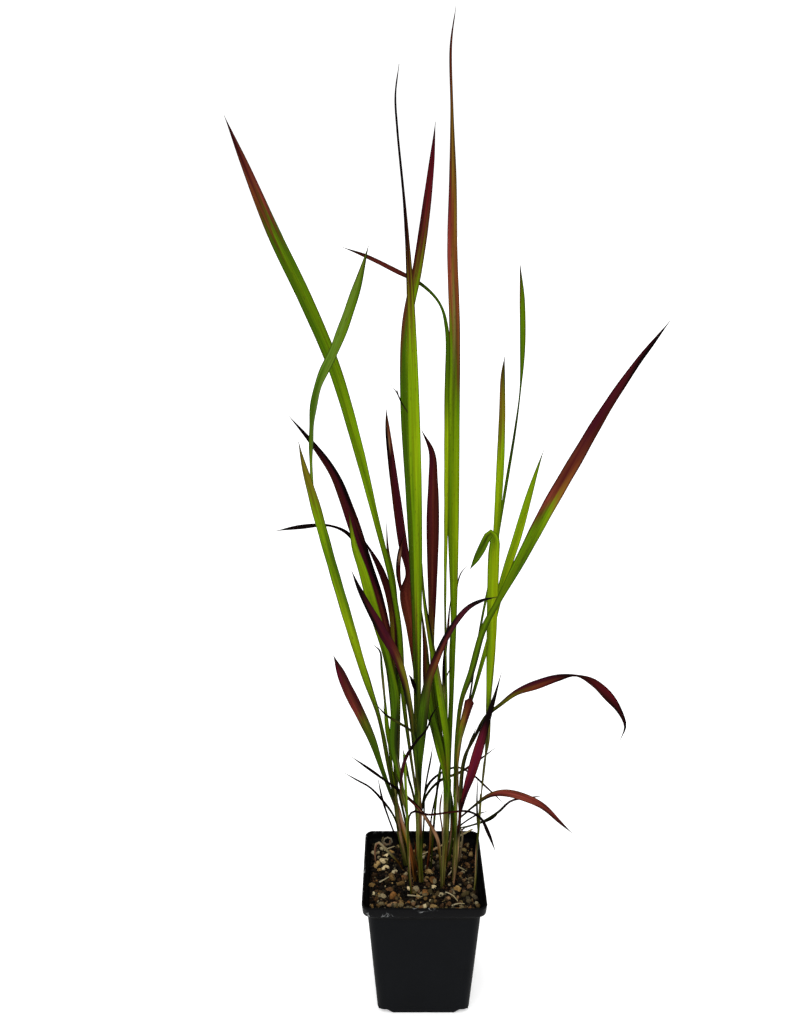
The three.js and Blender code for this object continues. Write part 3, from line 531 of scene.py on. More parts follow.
def place_fine_grit(count=760, edge=39.0):
    """Small stones of 1 to 5 mm, mostly the smallest, thicker strewn towards the front of the pot."""
    x = seed.uniform(-edge, edge, count)
    y = edge * (2 * seed.uniform(0, 1, count) ** 1.4 - 1)
    size = 0.6 + 1.9 * seed.uniform(0, 1, count) ** 1.9
    places = np.stack([x, y, soil_height(x, y) + 0.3 * size + 0.15], axis=-1)
    width, height = seed.uniform(0.6, 0.95, count), seed.uniform(0.5, 0.85, count)
    ratios = np.stack([np.ones(count), width, height], axis=-1)
    palette = np.array([colour(code)[:3] for code in grit_colours.values()])
    tints = palette[seed.integers(0, len(palette), count)] * seed.uniform(0.05, 0.9, (count, 1)) ** 1.7
    turns, tilts = seed.uniform(0, full_turn, count), seed.uniform(-0.4, 0.4, count)
    strewn("fine_grit", 2, places, size, ratios, turns, tilts, grit_sharpness, tints, river_grit)


def place_crumbs(count=2600, edge=40):
    """Crumbs of peat and bark, as flat as flakes, all over the soil."""
    x, y = seed.uniform(-edge, edge, (2, count))
    size = seed.uniform(0.5, 1.7, count)
    places = np.stack([x, y, soil_height(x, y) + 0.25 * size + seed.uniform(-0.1, 0.5, count)], axis=-1)
    width, height = seed.uniform(0.35, 0.9, count), seed.uniform(0.25, 0.7, count)
    ratios = np.stack([np.ones(count), width, height], axis=-1)
    shares = {"#060403": 0.3, "#0b0705": 0.3, "#110c07": 0.2, "#20140b": 0.13, "#362111": 0.07}
    palette = np.array([colour(code)[:3] for code in shares])
    tints = palette[seed.choice(len(palette), count, p=list(shares.values()))]
    turns, tilts = seed.uniform(0, full_turn, count), seed.uniform(-0.9, 0.9, count)
    strewn("bark_and_peat_crumbs", 1, places, size, ratios, turns, tilts, crumb_sharpness, tints, damp_peat)


make_soil()
place_pebbles()
place_fine_grit()
place_crumbs()


# ---- The grass ----
# Eleven upright shoots of one clump. Each is a roll of leaf sheaths, from which thin blades part, folded into
# shallow gutters along their midribs. Young blades are green and turn wine red from the tip down. They grow
# from runners in the soil.
# The colours hold painted light and shade as well as the grass's own green and red: shade, deep, dark and
# soot stand largely for shade that falls between the stems and on their feet, and the lighter greens for
# light that falls full on a blade.
leaf_colours = {
    "lime": "#738806", "grass": "#637c05", "leaf": "#496103", "deep": "#344c04", "shade": "#1b2305",
    "moss": "#393d0c", "olive": "#56530b", "mustard": "#655a12", "gold": "#6a4f15", "khaki": "#5e5a2a",
    "sage": "#737830", "umber": "#462f0d", "rust": "#633116", "brick": "#662920", "coral": "#78362a",
    "mahogany": "#491d14", "wine": "#330e0b", "crimson": "#430911", "ruby": "#4f0b16", "dark": "#080202",
    "plum": "#370b14", "fern": "#4f681b", "soot": "#1c140b", "tan": "#86654a", "straw": "#8f835f",
    "pith": "#9e9378", "garnet": "#4d0d1e",
}
root_lean = 0.006
stem_depth = 24
ring_gap = 3.0
least_rings = 12
curve_steps = 50


def colours_along(text, along):
    """The colour at each share of the way, straight between the stops of a text such as
    '10 moss, 60 leaf, 90 wine', each a per cent of the way and a colour. Before the first and after the last
    stop it stays as it is there."""
    stops = [stop.split() for stop in text.split(",")]
    shares = [float(share) / 100 for share, name in stops]
    tints = np.array([colour(leaf_colours[name])[:3] for share, name in stops])
    return np.stack([np.interp(along, shares, tints[:, k]) for k in range(3)], axis=-1)


def even_way(points):
    """Even steps of about the ring gap along a smooth curve through the points: a centripetal Catmull-Rom
    spline, whose knots are the square roots of the points' distances, with an end point mirrored beyond each
    end. Returns the places, with the width where the points give one, the direction, the share of the length,
    the share of the points passed, and the length."""
    knots = np.array(points, float)
    knots = np.vstack([2 * knots[0] - knots[1], knots, 2 * knots[-1] - knots[-2]])
    gaps = np.sqrt(np.linalg.norm(np.diff(knots[:, :3], axis=0), axis=1))[:, None]
    before, start, end, after = knots[:-3], knots[1:-2], knots[2:-1], knots[3:]
    d0, d1, d2 = gaps[:-2], gaps[1:-1], gaps[2:]
    leave = ((start - before) / d0 - (end - before) / (d0 + d1) + (end - start) / d1) * d1
    arrive = ((end - start) / d1 - (after - start) / (d1 + d2) + (after - end) / d2) * d1
    t = np.linspace(0, 1, curve_steps, endpoint=False)[None, :, None]
    start, end, leave, arrive = (part[:, None, :] for part in (start, end, leave, arrive))
    fine = (start + leave * t + (3 * (end - start) - 2 * leave - arrive) * t ** 2
            + (2 * (start - end) + leave + arrive) * t ** 3)
    fine = np.vstack([fine.reshape(-1, knots.shape[1]), knots[-2]])
    reach = np.concatenate([[0], np.cumsum(np.linalg.norm(np.diff(fine[:, :3], axis=0), axis=1))])
    along = np.linspace(0, 1, max(least_rings, int(reach[-1] / ring_gap)) + 1)
    places = np.stack([np.interp(along * reach[-1], reach, column) for column in fine.T], axis=-1)
    passed = np.interp(along * reach[-1], reach, np.linspace(0, 1, len(fine)))
    direction = np.gradient(places[:, :3], axis=0)
    direction /= np.linalg.norm(direction, axis=1, keepdims=True)
    return places, direction, along, passed, reach[-1]


def rooted(way, depth):
    """The way with one more point below the soil, leaning in towards the middle of the pot."""
    x, y, z, *width = way[0]
    share = 1 - root_lean * depth
    return [(x * share, y * share, z - depth, *width), *way] if depth else way


def closed_skin(rings, last, tints, across, lengths):
    """A closed skin over the rings, with a colour for each corner and, for each face corner, how far it lies
    across and along the blade in millimetres. Across has one column more than the rings, to close the round.
    The skin is turned inside out where its volume comes out negative."""
    rows, columns = rings.shape[:2]
    walls, ends = closed_faces(rows, columns)
    first = rings[0].mean(0)
    vertices = np.vstack([rings.reshape(-1, 3), first, last])
    tints = np.vstack([tints.reshape(-1, 3), tints[0].mean(0), tints[-1].mean(0)])
    row, column = np.meshgrid(np.arange(rows - 1), np.arange(columns), indexing="ij")
    corners = ((row, column), (row, column + 1), (row + 1, column + 1), (row + 1, column))
    wall_places = np.stack([np.stack([across[i, j], lengths[i]], axis=-1) for i, j in corners], axis=2)
    end_places = np.zeros((len(ends), 3, 2))
    end_places[:columns, :, 1] = lengths[0]
    end_places[columns:, :, 1] = lengths[-1]
    a, b, c = (vertices[walls[:, k]] for k in range(3))
    if (np.cross(b, c) * a).sum() < 0:
        walls, wall_places = walls[:, ::-1], wall_places[..., ::-1, :]
        ends = ends[:, ::-1]
    return {"vertices": vertices, "tints": tints, "faces": walls.tolist() + ends.tolist(),
            "places": np.vstack([wall_places.reshape(-1, 2), end_places.reshape(-1, 2)])}


def with_side_colours_and_shade(shade, left, right, across, along, start, fade):
    """A blade's or a stem's colours with those of its left and right sides laid over them. Across goes from
    -1 to 1, and a side's colours fade in from start on. The sides' colours are partly their own and partly
    painted light and shade: one side lighter and the other darker, as the light falls on it."""
    for text, beyond in ((left, -across), (right, across)):
        if text:
            share = np.clip((beyond - start) / fade, 0, 1)
            shade = shade + share * (colours_along(text, along) - shade)
    return shade


# A blade's section: its thickness at the rib and the edges, its gutter's slope at the foot and from this
# share of its points on, and the round of its fold, with two values that let a side rise from 0 at the rib
# to 1 at the edge
edge_columns = 13
blade_rib = 0.5
blade_edge = 0.26
foot_slope = 0.6
blade_slope = 0.27
gutter_share = 0.4
fold_round = 0.02
fold_low, fold_span = 0.141, 0.869
# How far its face leans up, how narrow its foot is and over what length it widens, the least half width, and
# how much less of it is left in the tip
face_lift = 0.5
foot_share = 0.6
foot_length = 50
least_half = 0.42
least_share = 0.25
tip_length = 8
tip_point = 0.4
# The waves of its edges, its darker rim, where the colours of its sides begin and over what share they fade
# in, and the strips along which its colours reach further: how much of the way, how close the strips lie,
# and how they shift with the blade's length
edge_wave = 0.08
wave_length = 26
wave_slant = 1.2
rim_width = 0.75
rim_shade = 0.75
side_start, side_fade = 0.1, 0.25
strips_of_colour = ((0.02, 7.3, 1), (0.012, 19, 2))


def leaf(tints, way, face=(0, 0, 0), left=None, right=None, depth=0):
    """One blade along its way, whose points give right, back, up and the full width. Its face is turned in
    degrees from the front at foot, middle and tip. It is a gutter, steepest at the foot: its sides rise as
    the root of the share across squared and a little more, with softly waved edges and a darker rim. Left
    and right are the colours of its two sides, their own colours with painted light and shade, one side
    lighter and the other darker as the light falls on the fold; colours reach further along some strips
    than others."""
    places, direction, along, passed, length = even_way(rooted(way, depth))
    places, half = places[:, :3], places[:, 3] / 2
    half = half * np.interp(along * length, [0, min(foot_length, length / 4)], [foot_share, 1])
    half = np.maximum(half, least_half * np.clip((1 - along) * length / tip_length, least_share, 1))
    half = half[:, None, None]
    turn = np.radians(np.interp(passed, [0, 0.5, 1], face))
    normal = np.stack([np.sin(turn), -np.cos(turn), np.full(len(turn), face_lift)], axis=-1)
    normal -= (normal * direction).sum(1, keepdims=True) * direction
    normal /= np.linalg.norm(normal, axis=1, keepdims=True)
    side = np.cross(direction, normal)[:, None, :]
    normal = normal[:, None, :]
    slope = np.interp(passed, [0, gutter_share], [foot_slope, blade_slope])[:, None, None]
    u = np.sin(np.linspace(-math.pi / 2, math.pi / 2, edge_columns))[None, :, None]
    lift = (np.sqrt(u ** 2 + fold_round) - fold_low) / fold_span
    thick = (blade_rib - (blade_rib - blade_edge) * np.abs(u)) / 2
    phase = 2 * math.pi * along[:, None, None] * length / wave_length + length + wave_slant * u
    middle = places[:, None, :] + side * u * half
    middle = middle + normal * (lift * half * slope + edge_wave * u ** 2 * half * np.sin(phase))
    rings = np.concatenate([middle + normal * thick, (middle - normal * thick)[:, ::-1]], axis=1)
    further = sum(reach * np.sin(close * u[..., 0] + shift * length)
                  for reach, close, shift in strips_of_colour)
    reached = np.clip(along[:, None] + further, 0, 1)
    # the colours along the blade and of its two sides: its own green and red, with painted light and shade
    shade = with_side_colours_and_shade(colours_along(tints, reached), left, right, u, reached, side_start, side_fade)
    shade *= 1 - rim_shade * np.clip(1 - half * (1 - np.abs(u)) / rim_width, 0, 1)
    shade = np.concatenate([shade, shade[:, ::-1]], axis=1)
    column = np.concatenate([u[0, :, 0], u[0, ::-1, 0], u[0, :1, 0]])
    across = half[:, :, 0] * column[None, :]
    return closed_skin(rings, places[-1] + tip_point * direction[-1], shade, across, along * length)


# The seam, the edge of the outer sheath, is a dark line: where round the stem it starts and how far round it
# winds, its width and how dark it is, and where the sheath has the stem's own radius
stem_columns = 20
seam_start, seam_wind = 0.15, 0.35
seam_width, seam_shade = 0.07, 0.5
roll_middle = 0.6
stem_side_start, stem_side_fade = 0.15, 0.3


def stem(foot, top, tints, way, left=None, right=None, depth=stem_depth, roll=0.1):
    """A round stem that thins towards its top. A rolled sheath's radius grows a little round the stem and
    drops back at its seam, which winds up the stem."""
    places, direction, along, passed, length = even_way(rooted(way, depth))
    across_axis = np.stack([direction[:, 2], np.zeros(len(along)), -direction[:, 0]], axis=-1)
    across_axis /= np.linalg.norm(across_axis, axis=1, keepdims=True)
    ahead_axis = np.cross(direction, across_axis)
    angle = 2 * math.pi * np.arange(stem_columns) / stem_columns
    u, v = np.cos(angle)[None, :, None], np.sin(angle)[None, :, None]
    seam = (angle[None, :] / (2 * math.pi) + seam_start + seam_wind * along[:, None]) % 1
    radius = (foot + (top - foot) * along)[:, None] / 2 * (1 + roll * (seam - roll_middle))
    outward = u * across_axis[:, None, :] + v * ahead_axis[:, None, :]
    rings = places[:, None, :] + radius[..., None] * outward
    shade = np.repeat(colours_along(tints, along[:, None]), stem_columns, axis=1)
    # the colours of the stem's two sides: its own, with painted light and shade on its lit and shaded sides
    shade = with_side_colours_and_shade(shade, left, right, u, along[:, None], stem_side_start, stem_side_fade)
    shade *= 1 - seam_shade * (seam[..., None] < seam_width) * (roll > 0)
    across = np.concatenate([angle, [2 * math.pi]])[None, :] * np.full((len(along), 1), foot / 2)
    return closed_skin(rings, places[-1] + top * direction[-1], shade, across, along * length)


def blade_material(name, vein_contrast, fleck, roughness, gloss):
    """A grass blade: its own tint in fine lengthwise streaks, with ribs that catch the light, darker flecks
    and, dry, no gloss. The piece's blade map gives millimetres across and along the blade."""
    material = bpy.data.materials.new(name)
    material.use_nodes = True
    tree = material.node_tree
    look = tree.nodes["Principled BSDF"]
    tint = add_node(tree, "ShaderNodeAttribute", attribute_name="tint").outputs["Color"]
    blade = add_node(tree, "ShaderNodeUVMap", uv_map="blade").outputs["UV"]
    # how far each pattern reaches across and along the blade in millimetres, and its detail: veins, drawn a
    # little coarser than the real 0.3 mm so that they show, broad streaks, and flecks
    marks = []
    for wide, long, detail in ((0.5, 60, 2.0), (1.8, 90, 2.0), (1.0, 5, 1.0)):
        fitted = add_node(tree, "ShaderNodeMapping", {"Vector": blade, "Scale": (1 / wide, 1 / long, 1)})
        noise = add_node(tree, "ShaderNodeTexNoise", {
            "Vector": fitted.outputs[0], "Scale": 1.0, "Detail": detail})
        marks.append(noise.outputs["Fac"])
    veins, streaks, flecks = marks
    vein = add_node(tree, "ShaderNodeMapRange", {
        "Value": veins, "From Min": 0.35, "From Max": 0.65,
        "To Min": 1 - vein_contrast, "To Max": 1 + vein_contrast})
    band = add_node(tree, "ShaderNodeMapRange", {
        "Value": streaks, "From Min": 0.35, "From Max": 0.65, "To Min": 0.82, "To Max": 1.18})
    value = add_node(tree, "ShaderNodeMath", {0: vein.outputs[0], 1: band.outputs[0]}, operation="MULTIPLY")
    hue = add_node(tree, "ShaderNodeMapRange", {
        "Value": streaks, "From Min": 0.35, "From Max": 0.65, "To Min": 0.488, "To Max": 0.512})
    streaked = add_node(tree, "ShaderNodeHueSaturation", {
        "Color": tint, "Hue": hue.outputs["Result"], "Value": value.outputs[0]})
    spot = add_node(tree, "ShaderNodeMapRange", {
        "Value": flecks, "From Min": 0.66, "From Max": 0.76, "To Max": fleck})
    spotted = add_node(tree, "ShaderNodeMix", {
        0: spot.outputs["Result"], 6: streaked.outputs["Color"], 7: colour("#2e150d")}, data_type="RGBA")
    tree.links.new(spotted.outputs[2], look.inputs["Base Color"])
    bump = add_node(tree, "ShaderNodeBump", {"Height": veins, "Strength": 0.4, "Distance": 0.15 * mm})
    tree.links.new(bump.outputs["Normal"], look.inputs["Normal"])
    look.inputs["Roughness"].default_value = roughness
    look.inputs["Specular IOR Level"].default_value = gloss
    return material


living_blade = blade_material("living_grass_blade", 0.18, 0.5, 0.42, 0.015)
dry_blade = blade_material("dry_grass_straw", 0.3, 0.7, 0.8, 0.01)


def join_skins(name, skins, material):
    """One piece of several closed skins, with its tints and its blade map."""
    sizes = [len(skin["vertices"]) for skin in skins]
    shifts = np.concatenate([[0], np.cumsum(sizes)[:-1]])
    faces = [[corner + int(shift) for corner in face] for skin, shift in zip(skins, shifts)
             for face in skin["faces"]]
    piece = make_piece(name, np.vstack([skin["vertices"] for skin in skins]), faces, material)
    tint_points(piece.data, np.vstack([skin["tints"] for skin in skins]))
    blade_map = piece.data.uv_layers.new(name="blade")
    places = np.vstack([skin["places"] for skin in skins]).astype(np.float32)
    blade_map.uv.foreach_set("vector", places.ravel())
    return piece


def shoot(name, skins):
    """A shoot, which takes the place of the plainer solid of the same name."""
    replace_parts(join_skins(name + "_blades", skins, living_blade), name)


shoot("shoot_left", [
    stem(3.4, 2.7, "0 soot, 12 shade, 25 moss, 38 khaki, 55 tan, 66 tan, 76 khaki, 88 moss, 100 khaki",
         left="0 soot, 30 shade, 50 moss",
         way=[(-13, 13, 93), (-16, 12.5, 113), (-18.5, 12, 128), (-22, 10.5, 163)]),
    leaf("0 shade, 15 moss, 30 moss, 40 grass, 55 lime, 63 grass, 72 leaf, 82 grass, 90 olive, 95 mustard, "
         "98 olive, 100 dark",
         right="0 shade, 28 leaf, 36 grass, 50 lime, 58 leaf, 74 deep, 82 leaf, 88 olive, 95 mustard, "
               "100 dark",
         way=[(-20.5, 11, 147, 3), (-26.5, 6, 187, 2.4), (-33, 0, 230, 2.2), (-41, -7, 263, 4.6),
              (-52, -18, 313, 6.5), (-62, -29, 360, 6.4), (-71, -37, 403, 6.2), (-77, -40, 429, 2.6),
              (-79, -42, 441, 0)], face=(25, -8, -25)),
    leaf("0 shade, 12 moss, 30 leaf, 40 grass, 60 grass, 66 leaf, 71 deep, 77 deep, 84 fern, 96 fern, "
         "99 umber, 100 dark",
         right="0 shade, 30 moss, 40 leaf, 64 leaf, 71 deep, 80 fern, 88 leaf, 96 deep, 100 dark",
         way=[(-20.5, 12, 147, 3), (-31, 10, 220, 3), (-58, 3, 326, 1.8), (-73, -6, 387, 2),
              (-74, -10, 430, 5.6), (-69, -15, 467, 7.4), (-55, -20, 498, 7.4), (-44, -22, 528, 5.8),
              (-36, -24, 555, 0)], face=(-35, -58, 5)),
    leaf("0 tan, 8 shade, 22 shade, 32 deep, 50 deep, 59 olive, 66 mahogany, 80 mahogany, 90 wine, 100 dark",
         left="0 tan, 8 shade, 30 deep, 58 moss, 66 brick, 80 mahogany, 90 ruby, 100 dark",
         right="0 tan, 8 shade, 30 deep, 58 moss, 67 wine, 90 wine, 100 dark",
         way=[(-20, 11.5, 144, 3), (-24, 8, 160, 3.3), (-31, 2.5, 187, 3.6), (-37.3, -3, 213, 5.6),
              (-44.7, -10, 237, 7.1), (-53, -17, 261, 7.6), (-58, -22, 278, 5.4), (-62, -26, 291, 0)],
         face=(30, 0, -20)),
    leaf("0 moss, 20 shade, 40 dark",
         way=[(-17.5, 11.5, 124, 1.5), (-22.5, 8, 143, 1.5), (-30, 4, 158, 1.8), (-39.5, -1, 173, 1.4),
              (-48.5, -7, 183, 1.2), (-57.5, -13, 193, 0)]),
    leaf("0 shade, 20 dark",
         way=[(-15, 13, 106, 1.3), (-20.5, 13, 120, 1.3), (-26.5, 12, 139, 1.3), (-31, 10, 157, 1.6),
              (-34, 7, 177, 0)]),
])

shoot("shoot_left_back_red", [
    stem(2.6, 2.3, "0 soot, 20 moss, 45 moss, 58 tan, 72 tan, 84 khaki, 100 shade",
         left="0 soot, 50 khaki, 75 shade, 100 moss",
         way=[(-13, 18, 93), (-17, 17.5, 116), (-19.5, 17, 137), (-21.5, 16.5, 161)]),
    leaf("0 khaki, 10 leaf, 30 deep, 34 umber, 42 mahogany, 50 mahogany, 56 plum, 84 plum, 91 dark",
         left="0 khaki, 10 leaf, 30 leaf, 36 umber, 41 mahogany, 52 mahogany, 58 plum, 70 plum, 76 wine, "
              "84 wine, 92 dark",
         right="0 khaki, 10 leaf, 30 deep, 38 mahogany, 46 wine, 54 dark, 66 dark, 70 wine, 75 dark",
         way=[(-20.5, 16.5, 150, 3), (-22, 16.5, 202, 3), (-24, 19, 270, 4.5), (-32, 26, 308, 6.5),
              (-42, 33, 336, 8.4), (-52, 41, 365, 8.8), (-64.7, 50, 396, 6.6), (-81, 60, 417, 3.8),
              (-98, 69, 435, 0)], face=(10, 5, 25)),
    leaf("12 khaki, 35 shade, 42 deep, 55 moss, 66 leaf, 84 leaf, 91 wine, 100 dark",
         right="0 khaki, 42 deep, 55 leaf, 84 leaf, 90 mahogany, 100 dark",
         way=[(-20, 17.5, 150, 2), (-18.5, 20, 200, 2.2), (-19, 23, 272, 3), (-22, 26, 323, 3),
              (-26, 27, 347, 1.8), (-27, 29, 369, 0)], face=(0, 10, 0)),
    leaf("0 khaki, 12 moss, 30 deep, 42 leaf, 50 shade, 57 umber, 65 olive, 71 umber, 77 wine, 100 dark",
         right="0 khaki, 30 deep, 45 shade, 55 dark, 70 wine, 100 dark",
         way=[(-20.5, 16, 151, 2.5), (-21, 16.5, 206, 3), (-22, 18, 288, 4.4), (-25, 20, 314, 5),
              (-31, 21, 334, 4.8), (-43, 23, 357, 0)]),
    leaf("0 khaki, 10 leaf, 25 deep, 42 shade, 50 crimson, 62 mahogany, 72 wine, 78 dark",
         way=[(-20.5, 18, 150, 2), (-26, 31, 244, 2), (-41, 50, 319, 2.6), (-54, 58, 347, 3),
              (-69, 61, 354, 1.8), (-91, 61, 353, 3.4), (-109, 58, 351, 0)]),
])

shoot("shoot_front_left", [
    stem(1.7, 2, "0 soot, 20 moss, 30 khaki, 45 khaki, 58 olive, 66 leaf",
         left="0 soot, 25 shade, 45 moss, 60 leaf, 85 leaf, 100 deep",
         right="0 soot, 22 umber, 42 tan, 55 sage, 70 deep, 80 sage, 100 grass",
         way=[(-9, -21, 93), (-11, -21, 124), (-12.5, -21, 166), (-14.5, -21, 212)]),
    leaf("0 sage, 12 khaki, 20 deep, 50 deep, 60 leaf, 76 leaf, 80 grass, 93 grass, 97 umber, 100 wine",
         left="0 shade, 8 leaf, 22 deep, 45 deep, 50 shade, 56 deep, 60 leaf, 76 grass, 93 leaf, 100 wine",
         right="0 sage, 12 straw, 18 shade, 34 shade, 44 leaf, 56 leaf, 76 grass, 95 grass, 100 wine",
         way=[(-12.5, -21, 164, 3.2), (-17.5, -21, 194, 4), (-22, -23, 221, 5), (-21, -25, 257, 6.2),
              (-26, -28, 289, 5), (-35, -34, 329, 6.8), (-41, -39, 356, 5.7), (-46, -43, 375, 3.9),
              (-49, -46, 398, 0)], face=(0, 10, -20)),
    leaf("0 deep, 20 leaf, 55 leaf, 66 moss, 75 khaki, 82 deep, 92 shade",
         way=[(-13, -21, 176, 1.8), (-20.5, -21.5, 205, 3.2), (-26, -22, 230, 3.6), (-28, -24, 257, 1.8),
              (-30, -25, 281, 2.2), (-31, -26, 294, 1.4), (-35, -29, 300, 0)], face=(0, 30, 60)),
    leaf("0 khaki, 10 olive, 20 moss, 30 moss, 35 dark, 58 wine, 66 dark",
         way=[(-11, -21, 124, 1.3), (-11.5, -23.5, 149, 1.3), (-10.5, -25.5, 167, 1.4),
              (-7.5, -26, 170, 1.6), (2.5, -27, 168, 1.5), (18, -27, 170, 1.4), (30.5, -26, 170, 1.5),
              (39.5, -25, 164, 1.8), (45.5, -24, 151, 2.6), (51.5, -23, 134, 0)]),
    leaf("0 sage, 12 khaki, 22 umber, 32 dark, 45 plum, 55 dark",
         right="0 sage, 25 umber, 34 plum, 50 wine, 58 dark",
         way=[(-12.5, -21, 164, 2), (-17, -23.5, 182, 1.8), (-16.5, -25, 199, 2.3), (-13.5, -26, 213, 2.4),
              (-6, -27, 227, 1.7), (1, -28, 237, 1.3), (4, -28, 247, 1.2), (8, -28, 254, 0)],
         face=(60, 0, 30)),
])

shoot("shoot_centre", [
    stem(3.6, 2.9, "0 soot, 18 moss, 32 moss, 48 khaki, 60 leaf, 75 leaf, 88 deep, 100 leaf",
         left="0 soot, 12 khaki, 25 umber, 50 khaki, 75 khaki, 84 shade, 100 leaf",
         right="0 soot, 30 shade, 60 shade, 100 deep",
         way=[(-2.5, 0, 93), (-3.5, 0.5, 118), (-4.5, 1, 148), (-5.5, 1.5, 171)]),
    leaf("0 khaki, 10 moss, 20 leaf, 48 leaf, 55 grass, 62 leaf, 82 leaf, 84 umber, 87 umber, 90 mahogany, "
         "96 wine, 100 dark",
         left="0 moss, 10 deep, 20 leaf, 30 leaf, 35 deep, 42 grass, 52 leaf, 60 leaf, 67 deep, 80 deep, "
              "84 umber, 87 rust, 90 mahogany, 96 wine, 100 dark",
         right="0 khaki, 12 moss, 30 deep, 40 leaf, 52 grass, 63 leaf, 72 leaf, 81 deep, 85 umber, "
               "88 brick, 92 mahogany, 96 mahogany, 100 dark",
         way=[(-5, 1, 161, 3), (-10.5, 1, 203, 2.4), (-15, 3, 242, 3.3), (-18, 7, 295, 3.8),
              (-24, 12, 332, 3.6), (-34, 22, 371, 4.4), (-46, 36, 417, 7.2), (-63, 55, 471, 8.9),
              (-83, 70, 516, 10), (-105, 86, 559, 9.7), (-126, 102, 606, 5.7), (-141, 113, 640, 0)],
         face=(15, -10, 0)),
    leaf("0 khaki, 10 deep, 20 moss, 28 grass, 48 grass, 56 lime, 62 grass, 68 grass, 73 olive, 77 umber, "
         "80 wine, 84 dark",
         left="0 moss, 10 deep, 24 shade, 31 olive, 38 grass, 48 leaf, 56 grass, 68 grass, 73 olive, "
              "77 umber, 80 dark",
         right="0 khaki, 10 deep, 20 moss, 30 leaf, 40 leaf, 50 grass, 58 lime, 63 grass, 70 grass, "
               "74 olive, 78 umber, 82 wine, 85 dark",
         way=[(-4.5, 1, 161, 3.2), (-4, -6, 215, 2.8), (-5, -14, 282, 4), (-6, -24, 358, 6),
              (-8, -31, 420, 7.8), (-10, -38, 484, 6.6), (-12, -43, 536, 4), (-15, -48, 577, 1.7),
              (-19, -52, 616, 1.2), (-20, -53, 633, 1), (-18, -55, 648, 0)], face=(0, 0, 20)),
    leaf("0 khaki, 12 moss, 30 deep, 74 deep, 78 leaf, 81 olive, 84 umber, 87 mahogany, 92 ruby, "
         "95 crimson, 98 dark",
         left="0 moss, 50 deep, 67 deep, 70 umber, 76 mahogany, 80 umber, 83 wine, 90 wine, 94 ruby, 98 dark",
         right="0 khaki, 12 moss, 36 deep, 45 leaf, 55 leaf, 61 deep, 67 leaf, 72 grass, 78 leaf, 81 olive, "
               "84 umber, 88 mahogany, 91 crimson, 97 ruby, 100 dark",
         way=[(-5, 2, 160, 3), (-6, 6, 224, 3), (-8, 12, 308, 3), (-11, 18, 386, 5), (-14, 26, 454, 6.8),
              (-13, 32, 503, 6.6), (-6, 36, 539, 6.5), (-1, 40, 572, 5.9), (3, 42, 606, 3.4),
              (5, 44, 629, 0)], face=(10, 0, -10)),
])

shoot("shoot_centre_front_red", [
    stem(3.4, 3.1, "0 soot, 20 umber, 35 moss, 46 moss, 54 shade, 61 dark, 66 umber, 76 umber, 82 moss, "
                   "90 khaki, 100 leaf",
         left="0 soot, 20 khaki, 45 moss, 70 khaki, 85 khaki, 100 sage",
         right="0 dark, 30 moss, 48 moss, 58 shade, 68 mahogany, 75 tan, 80 mahogany, 88 umber, 100 moss",
         way=[(-1.5, -6, 93), (-2.5, -6.5, 121), (-3, -7, 154), (-4, -7.5, 179)]),
    leaf("0 leaf, 8 shade, 20 deep, 42 deep, 50 moss, 56 umber, 62 mahogany, 70 plum, 87 plum, 91 dark",
         left="0 leaf, 10 dark, 20 deep, 30 shade, 40 deep, 48 shade, 58 wine, 66 dark, 78 dark, 84 plum, "
              "90 dark",
         right="0 leaf, 10 shade, 20 deep, 35 shade, 48 moss, 56 umber, 63 rust, 69 mahogany, 78 plum, "
               "86 plum, 90 dark",
         way=[(-3.5, -7, 162, 4.2), (-4, -10, 197, 5.5), (-2, -19, 235, 7), (1, -30, 271, 5.8),
              (7, -40, 297, 5), (14, -50, 319, 4), (24, -64, 341, 3.3), (32, -73, 350, 2),
              (40, -82, 356, 0)], face=(0, -10, -30)),
    leaf("0 khaki, 8 shade, 20 deep, 38 umber, 45 moss, 52 umber, 58 olive, 64 mahogany, 69 plum, 77 plum, "
         "86 wine, 92 dark",
         left="0 khaki, 20 shade, 40 shade, 50 dark, 58 wine, 70 plum, 80 dark",
         right="0 khaki, 10 shade, 20 deep, 28 shade, 40 moss, 50 olive, 58 olive, 62 umber, 67 mahogany, "
               "72 plum, 82 plum, 92 dark",
         way=[(-3.5, -7.5, 167, 3), (-7, -14, 211, 3.4), (-11, -25, 253, 4), (-19, -38, 294, 5.6),
              (-28, -46, 316, 6.4), (-36, -53, 335, 4.8), (-43, -59, 353, 2.7), (-47, -64, 366, 0)],
         face=(10, 0, -10)),
    leaf("30 deep, 45 moss, 55 dark, 70 moss, 80 dark",
         way=[(-4.5, -10.5, 204, 1.2), (-9.6, -24, 232.4, 1.5), (-18.2, -30, 242.5, 1.8),
              (-27, -32, 249.8, 1.3), (-34.3, -33, 259.4, 0)]),
])

